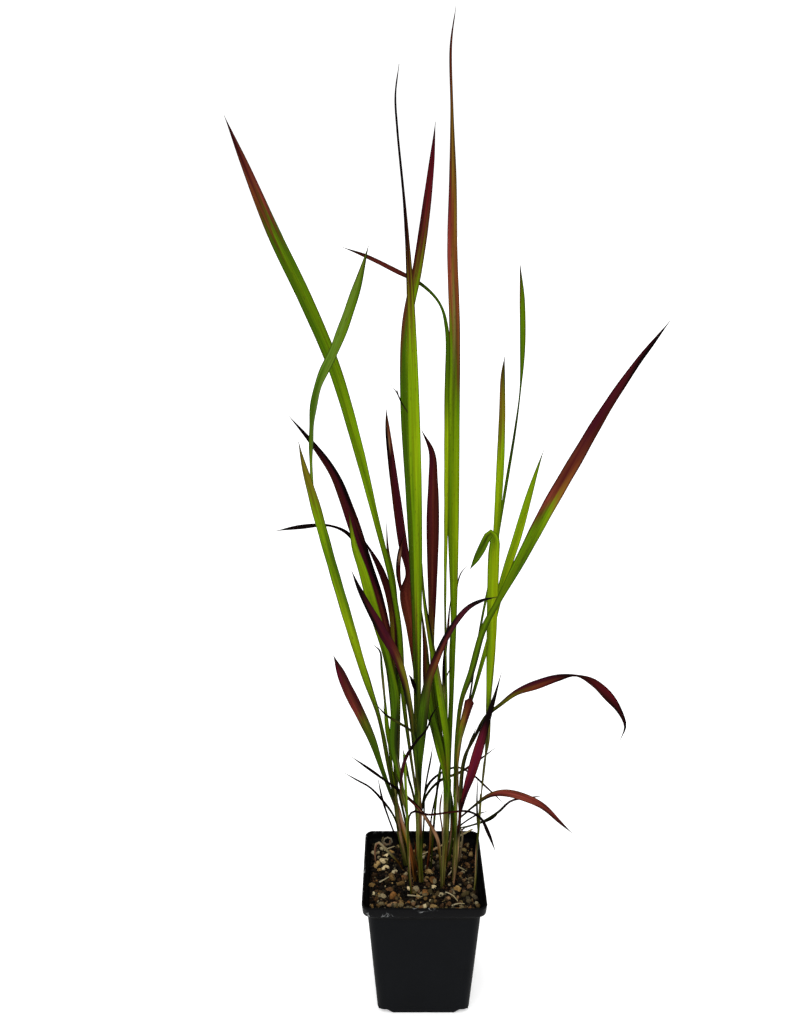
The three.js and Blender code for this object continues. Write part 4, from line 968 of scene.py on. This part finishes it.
shoot("shoot_centre_back_red", [
    stem(2.8, 2.3, "0 soot, 20 umber, 40 khaki, 60 khaki, 75 umber, 86 mahogany, 100 moss",
         right="0 soot, 30 shade, 60 moss, 86 mahogany, 100 khaki",
         way=[(-1.5, 5.5, 93), (-2, 6, 118), (-3, 6.5, 147), (-3.5, 7, 165)]),
    leaf("0 umber, 10 shade, 22 moss, 30 umber, 38 brick, 46 rust, 52 brick, 56 brick, 60 mahogany, "
         "64 plum, 88 plum, 91 dark, 94 tan, 97 mahogany, 100 dark",
         left="0 umber, 20 shade, 34 mahogany, 46 rust, 53 mahogany, 60 wine, 68 plum, 82 wine, 90 dark",
         right="0 umber, 12 shade, 30 umber, 40 rust, 50 rust, 58 mahogany, 66 plum, 84 plum, 90 wine, "
               "94 rust, 100 dark",
         way=[(-3, 6.5, 153, 3), (-3.5, 11, 205, 3.4), (-5, 16, 251, 4.5), (-9, 19, 289, 7.5),
              (-13.2, 23, 316, 9), (-11.2, 24, 330, 5), (-15.3, 27, 350, 6.4), (-19.3, 31, 378, 6.4),
              (-26, 36, 431, 3.4), (-27, 38, 446, 0)], face=(0, 0, 10)),
    leaf("30 mahogany, 45 wine, 60 tan, 75 mahogany, 100 wine",
         left="0 dark",
         way=[(-17, 22.5, 318, 2.8), (-18.8, 21.8, 333, 3.3), (-17.6, 21, 348, 2.8), (-14.3, 21, 361.7, 0)]),
    leaf("0 moss, 10 dark, 20 shade, 40 dark, 50 khaki, 60 dark, 70 mahogany, 80 wine, 100 dark",
         way=[(-2.5, 6.5, 142, 1.5), (2.5, 9, 160, 1.8), (12.5, 11, 171, 2), (26.5, 12, 177, 2),
              (40, 12, 187, 1.6), (54, 12, 199, 0)]),
    leaf("0 umber, 10 shade, 30 dark, 50 dark, 60 crimson, 70 dark, 90 wine, 100 dark",
         way=[(-2.5, 7, 144, 1.5), (3.5, 10, 168, 2), (12.5, 14, 175, 1.6), (25, 16, 179, 1.5),
              (36.5, 16, 173, 1.4), (47, 15, 163, 1.5), (61.5, 13, 149, 0)]),
])

shoot("shoot_right_centre", [
    stem(2.9, 3.2, "0 soot, 18 moss, 30 khaki, 50 umber, 62 moss, 70 khaki, 77 shade, 84 shade, 92 deep",
         left="0 soot, 20 khaki, 45 khaki, 62 moss, 80 khaki, 92 deep, 100 leaf",
         right="0 dark, 20 umber, 34 khaki, 45 umber, 54 moss, 66 moss, 75 dark, 84 shade, 100 deep",
         way=[(14, -10.5, 93), (15.5, -10, 121), (17, -9.5, 143), (18, -8.5, 184)]),
    leaf("0 leaf, 12 deep, 22 leaf, 30 grass, 38 grass, 50 leaf, 56 moss, 61 khaki, 66 khaki, 70 gold, "
         "74 rust, 78 rust, 81 gold, 88 gold, 91 rust, 96 rust, 100 dark",
         left="0 deep, 20 leaf, 40 leaf, 50 grass, 60 leaf, 64 rust, 70 coral, 76 brick, 80 mahogany, "
              "87 umber, 92 wine, 100 dark",
         right="0 deep, 25 leaf, 38 lime, 48 grass, 54 leaf, 57 umber, 66 rust, 73 rust, 77 gold, 84 umber, "
               "89 umber, 96 mahogany, 100 dark",
         way=[(18, -8.5, 174, 2.2), (18.5, -4, 214, 2.4), (20, 4, 273, 2.8), (20, 10, 316, 5),
              (19, 19, 379, 8.2), (19, 29, 440, 8), (19, 38, 499, 7.4), (17, 45, 550, 6.9),
              (17, 52, 594, 5), (16, 57, 637, 2.1), (15, 62, 676, 1.6), (18, 65, 699, 0)]),
    leaf("0 deep, 10 leaf, 20 leaf, 30 moss, 40 grass, 50 lime, 61 lime, 66 leaf, 72 deep, 84 deep, "
         "87 dark, 90 mahogany, 94 mahogany, 98 dark",
         way=[(17.5, -9, 175, 1.4), (15, -2, 253, 1.6), (13.6, 7, 318, 2), (13.9, 17, 387, 3.4),
              (13.9, 29, 454, 3.4), (13.7, 38, 500, 2.6), (9, 43, 516, 1.8), (-3, 48, 528, 2.4),
              (-21, 52, 537, 3.4), (-40, 55, 546, 2.8), (-56, 56, 552, 0)], face=(60, 0, 20)),
    leaf("0 deep, 10 olive, 20 leaf, 40 grass, 52 leaf, 66 leaf, 70 olive, 80 leaf, 90 moss, 100 leaf",
         right="0 deep, 20 leaf, 40 leaf, 50 khaki, 60 moss, 70 dark, 80 dark, 100 leaf",
         way=[(17.5, -9.5, 175, 3), (16, -9.5, 213, 4.3), (12, -10, 243, 5), (8, -9, 268, 4.7),
              (3, -8, 297, 3.6), (-1, -6, 323, 2.2), (-3, -4, 354, 0)]),
])

shoot("shoot_right_centre_back_red", [
    stem(2.4, 2.5, "0 soot, 15 tan, 35 khaki, 60 moss, 75 khaki, 88 deep, 100 leaf",
         left="0 soot, 20 tan, 50 khaki, 66 straw, 80 khaki, 92 deep",
         way=[(13.5, -4.5, 93), (15, -4, 121), (15.5, -3.5, 143), (15.5, -2.5, 180)]),
    leaf("0 leaf, 10 shade, 30 shade, 42 moss, 48 umber, 54 wine, 59 mahogany, 84 mahogany, 92 plum, "
         "100 dark",
         left="0 leaf, 10 deep, 40 moss, 48 umber, 60 wine, 72 wine, 79 plum, 90 plum, 100 dark",
         right="10 leaf, 22 moss, 30 deep, 40 leaf, 47 umber, 53 wine, 92 wine, 100 dark",
         way=[(15.5, -2.5, 170, 3.6), (13.5, -1, 196, 3.6), (11, 1, 219, 3.6), (7, 3, 246, 3.4),
              (5, 7, 283, 3.4), (5, 11, 323, 6.2), (5, 16, 373, 8.8), (5, 19, 400, 6.6), (4, 22, 419, 4.2),
              (-3, 24, 434, 0)]),
    leaf("0 deep, 10 leaf, 22 leaf, 30 deep, 42 deep, 50 leaf, 58 olive, 68 umber, 82 mahogany, 90 dark",
         left="0 deep, 10 leaf, 20 grass, 28 leaf, 36 shade, 50 deep, 60 dark, 70 wine, 100 dark",
         right="0 deep, 18 olive, 24 leaf, 46 deep, 56 leaf, 62 olive, 72 shade, 82 umber, 90 khaki, "
               "100 dark",
         way=[(20, -3, 166, 3), (15.3, -3, 186, 4.6), (9.5, -3, 212, 6), (3, -2, 241, 6), (1, -1, 266, 5.6),
              (0, 0, 286, 3.5), (-3, 2, 316, 0)], face=(0, 20, 0)),
    leaf("0 leaf, 20 moss, 40 leaf, 52 sage, 58 dark, 70 dark, 80 mahogany, 90 wine, 100 dark",
         way=[(16, -2, 170, 1.5), (14, 4, 241, 3), (14, 8, 271, 2.6), (16, 11, 291, 2), (17, 12, 306, 1.3),
              (18, 14, 315, 0)], face=(0, 20, 40)),
])

shoot("shoot_right", [
    stem(2.3, 2.2, "0 soot, 15 khaki, 50 khaki, 62 moss, 78 leaf",
         left="0 soot, 30 dark, 45 khaki, 62 moss, 80 leaf, 100 moss",
         right="0 soot, 20 khaki, 34 tan, 48 khaki, 60 shade, 75 khaki",
         way=[(21.5, -4, 93), (23, -3, 116), (23.5, -2, 142), (22.5, -1, 175)]),
    leaf("0 deep, 12 olive, 22 moss, 32 leaf, 66 leaf, 69 rust, 72 mahogany, 77 mahogany, 82 plum, 90 plum, "
         "93 dark",
         left="30 deep, 50 leaf, 61 leaf, 64 umber, 67 brick, 71 mahogany, 76 mahogany, 80 plum, 90 plum, "
              "100 dark",
         right="0 umber, 12 olive, 30 shade, 42 deep, 50 leaf, 55 deep, 61 leaf, 66 grass, 69 gold, "
               "73 rust, 77 mahogany, 81 wine, 88 wine, 92 dark",
         way=[(22.5, -1, 165, 3), (23, -6, 211, 3), (25, -15, 250, 3.2), (30.5, -27, 279, 4.4),
              (37, -38, 316, 4.2), (45.3, -44, 338, 3.8), (56.5, -52, 367, 6.6), (71, -62, 405, 8.3),
              (85, -71, 438, 7.8), (98, -79, 468, 5.9), (111, -87, 494, 3.9), (119, -92, 508, 2.1),
              (125, -95, 518, 0)], face=(-20, -10, -30)),
    leaf("0 leaf, 10 olive, 20 olive, 28 shade, 34 deep, 41 leaf, 47 lime, 55 lime, 60 leaf, 66 grass, "
         "92 grass, 97 leaf, 100 dark",
         right="0 leaf, 10 olive, 28 shade, 36 leaf, 44 grass, 60 lime, 78 lime, 90 grass, 97 leaf, 100 dark",
         way=[(22.5, 0, 166, 2), (26, 4.5, 213, 2), (34.5, 7, 243, 2.3), (41, 9, 269, 3.1),
              (46.6, 11, 291, 3.7), (54, 13, 328, 5), (63, 15, 360, 5.9), (70, 18, 387, 4.6),
              (75, 20, 405, 2.4), (80, 22, 421, 0)]),
    leaf("0 moss, 10 olive, 20 dark, 31 shade, 39 leaf, 50 grass, 57 deep, 62 deep, 70 shade, 78 deep, "
         "88 leaf, 95 leaf, 100 dark",
         left="0 moss, 18 dark, 32 shade, 40 leaf, 52 grass, 58 deep, 70 shade, 80 deep, 90 leaf, "
              "97 mahogany, 100 dark",
         way=[(23, 0.5, 166, 1.7), (25.5, 7.5, 211, 1.7), (33, 14, 238, 1.4), (37, 18, 270, 1.5),
              (42, 22, 302, 1.8), (48, 26, 333, 2), (52, 30, 361, 2), (57, 34, 396, 2.2),
              (62, 38, 431, 1.7), (65, 42, 458, 1.2), (66, 46, 485, 3.6), (65, 50, 518, 3.6),
              (63, 54, 543, 0)]),
])

shoot("shoot_right_front_red", [
    stem(2, 2.1, "0 soot, 15 moss, 30 tan, 45 khaki, 60 khaki, 72 dark, 85 wine, 100 dark",
         right="45 dark, 60 tan, 72 dark",
         way=[(22.5, -9.5, 93), (24.5, -10, 115), (25, -11, 137), (26.5, -13, 170)]),
    leaf("0 wine, 8 dark, 18 plum, 34 garnet, 58 garnet, 67 dark",
         left="0 wine, 12 crimson, 28 garnet, 50 garnet, 58 plum, 65 dark",
         right="0 dark, 18 plum, 30 crimson, 45 garnet, 54 plum, 63 dark",
         way=[(26, -12, 160, 3.6), (29.5, -15, 180, 5), (33.5, -18, 198, 6.6), (37, -21, 216, 7),
              (40, -24, 232, 5.6), (44, -27, 251, 3.8), (47, -30, 266, 1.9), (50, -33, 282, 0)],
         face=(0, 0, 20)),
    leaf("0 khaki, 12 moss, 22 shade, 30 dark, 40 moss, 46 olive, 52 umber, 58 mahogany, 66 wine, 70 dark, "
         "76 dark, 81 crimson, 86 wine, 91 wine, 96 dark",
         left="0 khaki, 30 dark, 42 moss, 50 plum, 60 plum, 70 dark, 77 wine, 85 crimson, 90 dark",
         right="0 khaki, 30 dark, 40 shade, 47 olive, 52 umber, 57 rust, 64 mahogany, 69 dark, 80 wine, "
               "90 dark",
         way=[(25.5, -11.5, 157, 2.2), (26, -6, 178, 2.2), (29, -1, 198, 2.2), (36, 2, 212, 2.4),
              (44, 4, 228, 2.6), (54, 2, 239, 2.7), (64, -3, 251, 4.2), (78, -11, 262, 6.5),
              (91, -17, 270, 4.8), (102, -24, 275, 1.5), (112, -30, 273, 5.4), (121, -36, 266, 6.8),
              (128, -41, 258, 4), (132, -44, 248, 1.7), (129, -46, 239, 0)], face=(0, 20, 10)),
    leaf("0 khaki, 20 tan, 30 umber, 40 shade, 48 gold, 60 khaki, 70 olive, 80 gold, 90 rust, 100 wine",
         left="25 khaki, 40 shade, 50 olive, 60 deep, 70 leaf, 78 gold, 85 umber, 92 mahogany, 100 wine",
         right="0 khaki, 30 umber, 42 khaki, 50 gold, 62 khaki, 72 moss, 79 wine",
         way=[(25.5, -12, 157, 1.2), (23.5, -13, 187, 1.8), (23.5, -14, 212, 2.4), (26, -16, 231, 4.4),
              (29, -20, 248, 5.7), (30.6, -20.8, 255.5, 5.2), (31, -21, 257, 0)]),
    leaf("0 moss, 10 dark, 22 shade, 32 moss, 40 mahogany, 48 brick, 58 coral, 70 brick, 79 brick, "
         "84 mahogany, 89 wine, 93 dark",
         left="0 wine, 22 dark, 40 umber, 50 brick, 60 mahogany, 70 brick, 79 wine, 84 brick, 90 mahogany, "
              "100 dark",
         right="0 wine, 22 dark, 38 dark, 44 wine, 52 mahogany, 60 brick, 70 brick, 80 wine, 90 wine, "
               "95 dark",
         way=[(26, -12, 155, 2), (29, -18.5, 163, 1.8), (35, -25, 174, 1.7), (45, -33, 188, 3.1),
              (55.5, -41, 195, 4.9), (67, -47, 195.5, 5.3), (78.5, -53.5, 193, 4.2), (89.5, -60, 185, 2.2),
              (97, -65, 180, 0)]),
    leaf("0 moss, 20 shade, 60 dark, 75 wine, 84 brick, 92 mahogany, 100 dark",
         way=[(25.5, -11.5, 146, 1.4), (33.5, -9, 146, 1.5), (43, -8, 149, 1.5), (54, -7, 156, 1.8),
              (63.5, -6, 165, 1.5), (77, -5, 167, 1.4), (87, -4, 168, 0)]),
])

shoot("shoot_far_right", [
    stem(1.6, 1.8, "0 moss, 15 khaki, 50 khaki, 62 moss, 80 moss, 100 khaki",
         left="0 moss, 30 khaki, 52 tan, 64 shade, 80 moss, 100 khaki",
         right="0 dark, 30 shade, 60 shade, 75 moss, 100 khaki",
         way=[(37.5, -15.5, 93), (38.5, -15, 129), (39.5, -15, 147), (40.5, -15, 176)]),
    leaf("0 moss, 10 khaki, 20 khaki, 28 grass, 38 lime, 52 lime, 60 grass, 70 lime, 78 lime, 84 mustard, "
         "92 olive, 95 moss, 97 dark",
         left="0 moss, 22 khaki, 30 grass, 50 lime, 60 grass, 76 lime, 84 olive, 92 gold, 100 dark",
         right="0 moss, 25 khaki, 35 lime, 50 grass, 60 leaf, 72 grass, 82 grass, 88 mustard, 94 olive, "
               "97 dark",
         way=[(40.5, -15, 170, 1.5), (42, -13, 199, 1.4), (45, -11, 218, 1.8), (45, -8, 248, 2.8),
              (46, -4, 285, 5.4), (46, 1, 320, 5.4), (48, 8, 368, 4.4), (50, 16, 408, 5.3),
              (51, 23, 444, 4.4), (51, 26, 471, 2.8), (52, 28, 483, 0)], face=(20, 0, 0)),
    leaf("12 khaki, 22 moss, 30 shade, 38 grass, 52 grass, 62 lime, 82 lime, 86 leaf, 90 shade, 96 deep",
         left="0 khaki, 30 moss, 40 grass, 58 leaf, 70 grass, 80 grass, 88 leaf, 100 deep",
         right="0 khaki, 30 shade, 38 grass, 48 lime, 80 lime, 86 grass, 92 deep",
         way=[(40, -16, 171, 1.5), (42.5, -17.5, 206, 1.5), (43, -19, 254, 2.8), (44, -18, 299, 6.5),
              (44, -17, 338, 7.5), (44, -17, 359, 7.5), (44, -18, 370, 6.6), (41, -20, 375, 5.2),
              (35, -24, 365, 5.2), (31.5, -25.5, 358.5, 3.6), (28, -27, 353, 0)]),
    leaf("30 moss, 50 dark, 70 shade, 100 dark",
         way=[(39.5, -15, 142, 1.6), (38, -13, 166, 1.4), (38, -12, 188, 0)]),
])


# ---- Dead leaves and straw ----
# Last year's leaves, dry and brittle: a long one, tan below and dark in its bent upper half, a brown sheath,
# and one folded down on the soil, their feet a little way in it. A loose stalk of straw leans on the back of
# the lip.
dead_depth = 5

dead_leaf_long = leaf("0 soot, 10 khaki, 18 moss, 30 umber, 38 tan, 44 umber, 50 tan, 56 mahogany, 64 dark",
    right="0 soot, 25 khaki, 36 tan, 46 mahogany, 54 dark",
    way=[(13, -15, 93, 1.2), (12, -14.5, 119, 1.6), (10, -14.5, 138, 2.6), (4, -14, 151, 2.7),
         (-4, -13.5, 164, 2.3), (-17, -12.5, 177, 2), (-27, -12, 185, 1.5), (-39, -12, 195, 2),
         (-53, -12, 206, 0)], depth=dead_depth)
dead_sheath = leaf("0 soot, 12 umber, 20 dark, 38 umber, 50 rust, 62 khaki, 75 tan, 90 tan, 100 rust",
    left="0 soot, 12 umber, 40 rust, 60 gold, 75 rust, 85 tan, 100 rust",
    way=[(-6, -5.5, 93, 3.4), (-8, -4.5, 113, 3.7), (-11.5, -2, 127, 3.5), (-16, 2, 141, 3),
         (-19, 4, 157, 0)], face=(-20, -10, 0), depth=dead_depth)
dead_leaf_folded = leaf("0 soot, 10 umber, 25 umber, 36 khaki, 48 straw, 58 straw, 66 tan, 74 mahogany, "
                        "88 tan, 100 mahogany",
    right="0 soot, 30 umber, 45 straw, 58 pith, 68 straw, 80 tan",
    way=[(-15, 8, 93, 1.6), (-18, 8.5, 100, 1.8), (-26, 8.5, 110, 1.9), (-34.5, 8.5, 119, 2),
         (-36.5, 9, 112, 1.7), (-36, 9.5, 99, 1)], depth=dead_depth)
for name, skin in (("dead_leaf_long", dead_leaf_long), ("dead_sheath", dead_sheath),
                   ("dead_leaf_folded", dead_leaf_folded)):
    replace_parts(join_skins(name + "_dry", [skin], dry_blade), name)

straw_stalk = stem(1.5, 1.3, "0 tan, 50 straw",
    way=[(7, 27, 97), (22, 35, 100.5), (40, 44.5, 104.3)], depth=0, roll=0.05)
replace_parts(join_skins("straw_stalk_bent", [straw_stalk], dry_blade), "straw_stalk")


# ---- Thin blades and dry strips between the shoots ----
# Narrow young blades, dead threads and torn strips of old sheath, 0.7 to 3 mm wide, that stand among the
# stems. Like the shoots, they grow from the runners in the soil; a few short ones hang on a blade.
def strip(width, tints, way, left=None, right=None):
    """A narrow blade of one width that runs out at its tip, along points that give right, back and up."""
    points = [(*point, width) for point in way[:-1]] + [(*way[-1], 0)]
    return leaf(tints, points, left=left, right=right, depth=dead_depth)


join_skins("narrow_young_blades", [
    strip(1.2, "0 moss, 30 dark",
          way=[(4.1, 13.4, 94), (6, 12.6, 135.8), (8.7, 11.7, 153.8), (11.5, 10.8, 169.1),
               (13.6, 10, 180.6)]),
    strip(1.3, "0 moss, 40 shade, 100 dark",
          way=[(-1.4, 11, 94), (0.6, 11.2, 136.8), (0.8, 11.4, 158.4), (2.6, 11.6, 172.8),
               (5.1, 11.8, 187.9), (6.8, 12, 200.4)]),
    strip(1.8, "40 moss, 70 shade, 100 deep",
          way=[(-3.6, 13.4, 94), (-5.4, 12.7, 144.5), (-8.5, 12, 162.3), (-10.8, 11.4, 171.2),
               (-13.1, 10.7, 184.4), (-16, 10, 201.6)]),
    strip(3, "0 moss, 40 deep, 70 shade, 100 deep",
          way=[(20.5, 18.1, 94), (22.1, 15.1, 128.7), (21.7, 12.1, 143.1), (19.8, 9, 160), (17.1, 6, 176.4)]),
    strip(1.9, "0 moss, 40 khaki, 60 shade",
          way=[(26.1, 8.7, 94), (28, 7.8, 156.5), (28.9, 6.8, 182.7), (30.8, 5.9, 194.9),
               (34.1, 4.9, 207.9), (37.4, 4, 219.1)]),
    strip(1.8, "0 moss, 50 deep, 80 leaf",
          way=[(6.3, 11, 94), (9.5, 11.5, 154), (12.2, 12, 179.4), (17, 12.5, 204.2), (18.8, 13, 236.7),
               (18.5, 13.5, 276.2), (19.1, 14, 306.9)]),
    strip(1.9, "0 moss, 50 shade, 75 deep, 100 leaf",
          way=[(-6.7, 13.4, 94), (-13.7, 13.9, 134.8), (-19, 14.4, 160.7), (-24.9, 15, 181.7),
               (-29.3, 15.5, 200.8), (-32.2, 16, 222.9)]),
    strip(1.9, "0 moss, 40 olive, 70 leaf",
          way=[(-11.3, 15.7, 94), (-17.5, 15, 132.3), (-20.5, 14.2, 156.5), (-23.5, 13.5, 178.4),
               (-26.3, 12.7, 208.3), (-29.8, 12, 233.2)]),
    strip(0.9, "0 moss, 40 deep, 80 dark",
          way=[(18.6, 11, 94), (19.3, 11.8, 153.8), (20.2, 12.7, 236.9), (20.9, 13.5, 284),
               (22.4, 14.3, 323.4), (25, 15.2, 334.2), (29.2, 16, 339.1)]),
    strip(0.8, "0 moss, 40 deep, 80 dark",
          way=[(17.8, 11, 94), (16.9, 10.5, 154.7), (15.4, 10, 205.7), (15, 9.5, 238.6), (15.4, 9, 255.6),
               (17.4, 8.5, 262.2), (19.5, 8, 267.2)]),
    leaf("0 shade, 30 dark",
         way=[(-3.2, -4, 218.1, 1.2), (-3.7, -4, 239.6, 1.6), (-5.2, -4, 251.4, 3.2), (-8, -4, 258.4, 3),
              (-9.8, -4, 263.1, 1.6), (-11.6, -4, 265.8, 0)]),
], living_blade)

join_skins("dry_sheath_strips", [
    strip(1.8, "0 umber, 30 rust, 55 gold, 75 tan",
          right="0 umber, 40 khaki, 70 rust, 100 tan",
          way=[(-1.7, -2.8, 94), (-5.5, -1, 108.7), (-9.3, 0.7, 119.8), (-14.5, 2.5, 135.9),
               (-17.5, 4.2, 148.6), (-19.4, 6, 157.7)]),
    strip(1.6, "0 rust, 40 gold, 70 rust, 100 umber",
          way=[(-6.8, 6.4, 94), (-6.5, 6.4, 104.8), (-5.4, 6.4, 116.4), (-7.7, 6.4, 124.4)]),
    strip(1.5, "0 umber, 25 rust, 60 gold, 80 khaki, 100 shade",
          left="50 rust, 80 tan, 100 moss",
          way=[(2.7, 5.2, 94), (3.7, 4.4, 106.3), (5.1, 3.6, 120.2), (5.3, 2.8, 132.2), (6.2, 2, 147.6)]),
    strip(1.6, "0 shade, 30 umber, 60 tan, 100 rust",
          right="0 shade, 40 straw, 70 umber",
          way=[(17.9, 13.4, 94), (19.1, 10.1, 109.2), (20.3, 6.7, 120.6), (21, 3.3, 135.4),
               (20.9, 0, 151.5)]),
    strip(1.2, "0 umber, 40 tan, 70 rust, 100 umber",
          way=[(15.4, 8.7, 94), (15, 5.8, 118.6), (13.9, 2.8, 135.7), (12, -0.1, 151.6),
               (12.5, -3.1, 164.7), (13.7, -6, 174.2)]),
    strip(1.4, "0 umber, 60 tan, 80 dark",
          way=[(5, 18.1, 94), (6.2, 14.1, 112.4), (7.4, 10, 129.7), (9.1, 6, 141.3)]),
    strip(1.2, "0 moss, 50 dark",
          way=[(23.6, 32.7, 94), (29.2, 29.4, 118), (32.8, 26, 124.5), (37.8, 22.7, 130.9),
               (43.5, 19.3, 136.8), (48.5, 16, 140.9)]),
    strip(1.2, "0 moss, 50 dark",
          way=[(25, 30.2, 94), (31.6, 28.5, 116.4), (36.8, 26.8, 120.3), (43.6, 25.1, 123.8),
               (51, 23.4, 127.7), (55.3, 21.7, 132.5), (58.8, 20, 138.5)]),
    strip(1.3, "0 umber, 30 gold, 50 tan, 70 dark, 85 tan, 100 straw",
          way=[(24.7, 11, 94), (25.1, 8.8, 129.7), (24.7, 6.6, 165.9), (24.6, 4.4, 185.9), (26, 2.2, 203.8),
               (27.8, 0, 215.7)]),
    strip(1.4, "0 tan, 60 straw, 100 tan",
          way=[(28.2, 18.1, 94), (30, 12.1, 122.9), (26.7, 6, 137.8)]),
    leaf("0 khaki, 40 dark",
         way=[(-12, -33.5, 456.2, 0.7), (-16.3, -33.5, 462.7, 0.7), (-19.3, -33.5, 469.1, 0.7),
              (-22.9, -33.5, 474, 0)]),
    leaf("0 dark",
         way=[(-18.4, -33.5, 467.3, 0.7), (-19.1, -33.5, 469.7, 0.7), (-19.6, -33.5, 472.2, 0)]),
], dry_blade)


# ---- Litter on the soil ----
# Last year's leaf bits, dry and pale: a strip that has curled up into a ring, and short stalks that lie on
# the grit or lean on it. Nothing holds them.
def bent_stalk(start, end, bow, lift):
    """Points of a thin stalk from start to end, bowed sideways and upwards by half a wave."""
    share = np.linspace(0, 1, 6)
    start, end = np.array(start, float), np.array(end, float)
    side = np.array([end[1] - start[1], start[0] - end[0], 0]) / np.linalg.norm(end - start)
    half_wave = np.sin(math.pi * share)[:, None]
    return (start + (end - start) * share[:, None] + half_wave * (bow * side + (0, 0, lift))).tolist()


# The curled strip: a spiral that stands on edge, with its middle's place, its radii, width and turns
curl_right, curl_back, curl_up = -27.5, 37.5, 99.2
curl_radius, curl_tightening = 4.6, 2.2
curl_width = 1.3
curl_turns = 1.7
curl_points = 15
curl_share = np.linspace(0, 1, curl_points)
curl_angle = 2 * math.pi * curl_turns * curl_share + 2.4
curl_reach = curl_radius - curl_tightening * curl_share
curled_strip = leaf("0 straw, 30 pith, 70 pith, 100 tan", way=np.stack([
    curl_right + curl_reach * np.cos(curl_angle), curl_back - 1.5 * curl_share,
    curl_up + curl_reach * np.sin(curl_angle), np.full(curl_points, curl_width)], axis=-1).tolist())

# The stalks: start, end, and how far each is bowed sideways and upwards
stalk_places = [
    ((24.5, 13, 95.6), (33.5, 4.5, 95.8), 1, 0.8), ((16, -18.5, 95.6), (24.5, -28, 95.6), -0.8, 0.9),
    ((19, 0.5, 95.4), (24, 9.5, 96.5), 0.5, 0.5), ((-12, -22, 95.8), (-1.5, -24.5, 96.6), 0.6, 0.6),
    ((-33, -8, 96), (-26, -4, 97.5), 0.4, 0.3), ((-30, 30, 95.5), (-22, 33, 97), 0.5, 0.6),
    ((20, -33, 95.6), (29, -31.5, 96.2), -0.5, 0.6), ((-2, 24, 95.5), (7, 28.5, 97), 0.8, 0.5),
]
stalks = [stem(1.0, 0.7, "0 pith, 100 straw", way=bent_stalk(*stalk), depth=0, roll=0)
          for stalk in stalk_places]
join_skins("dry_leaf_litter", [curled_strip, *stalks], dry_blade)
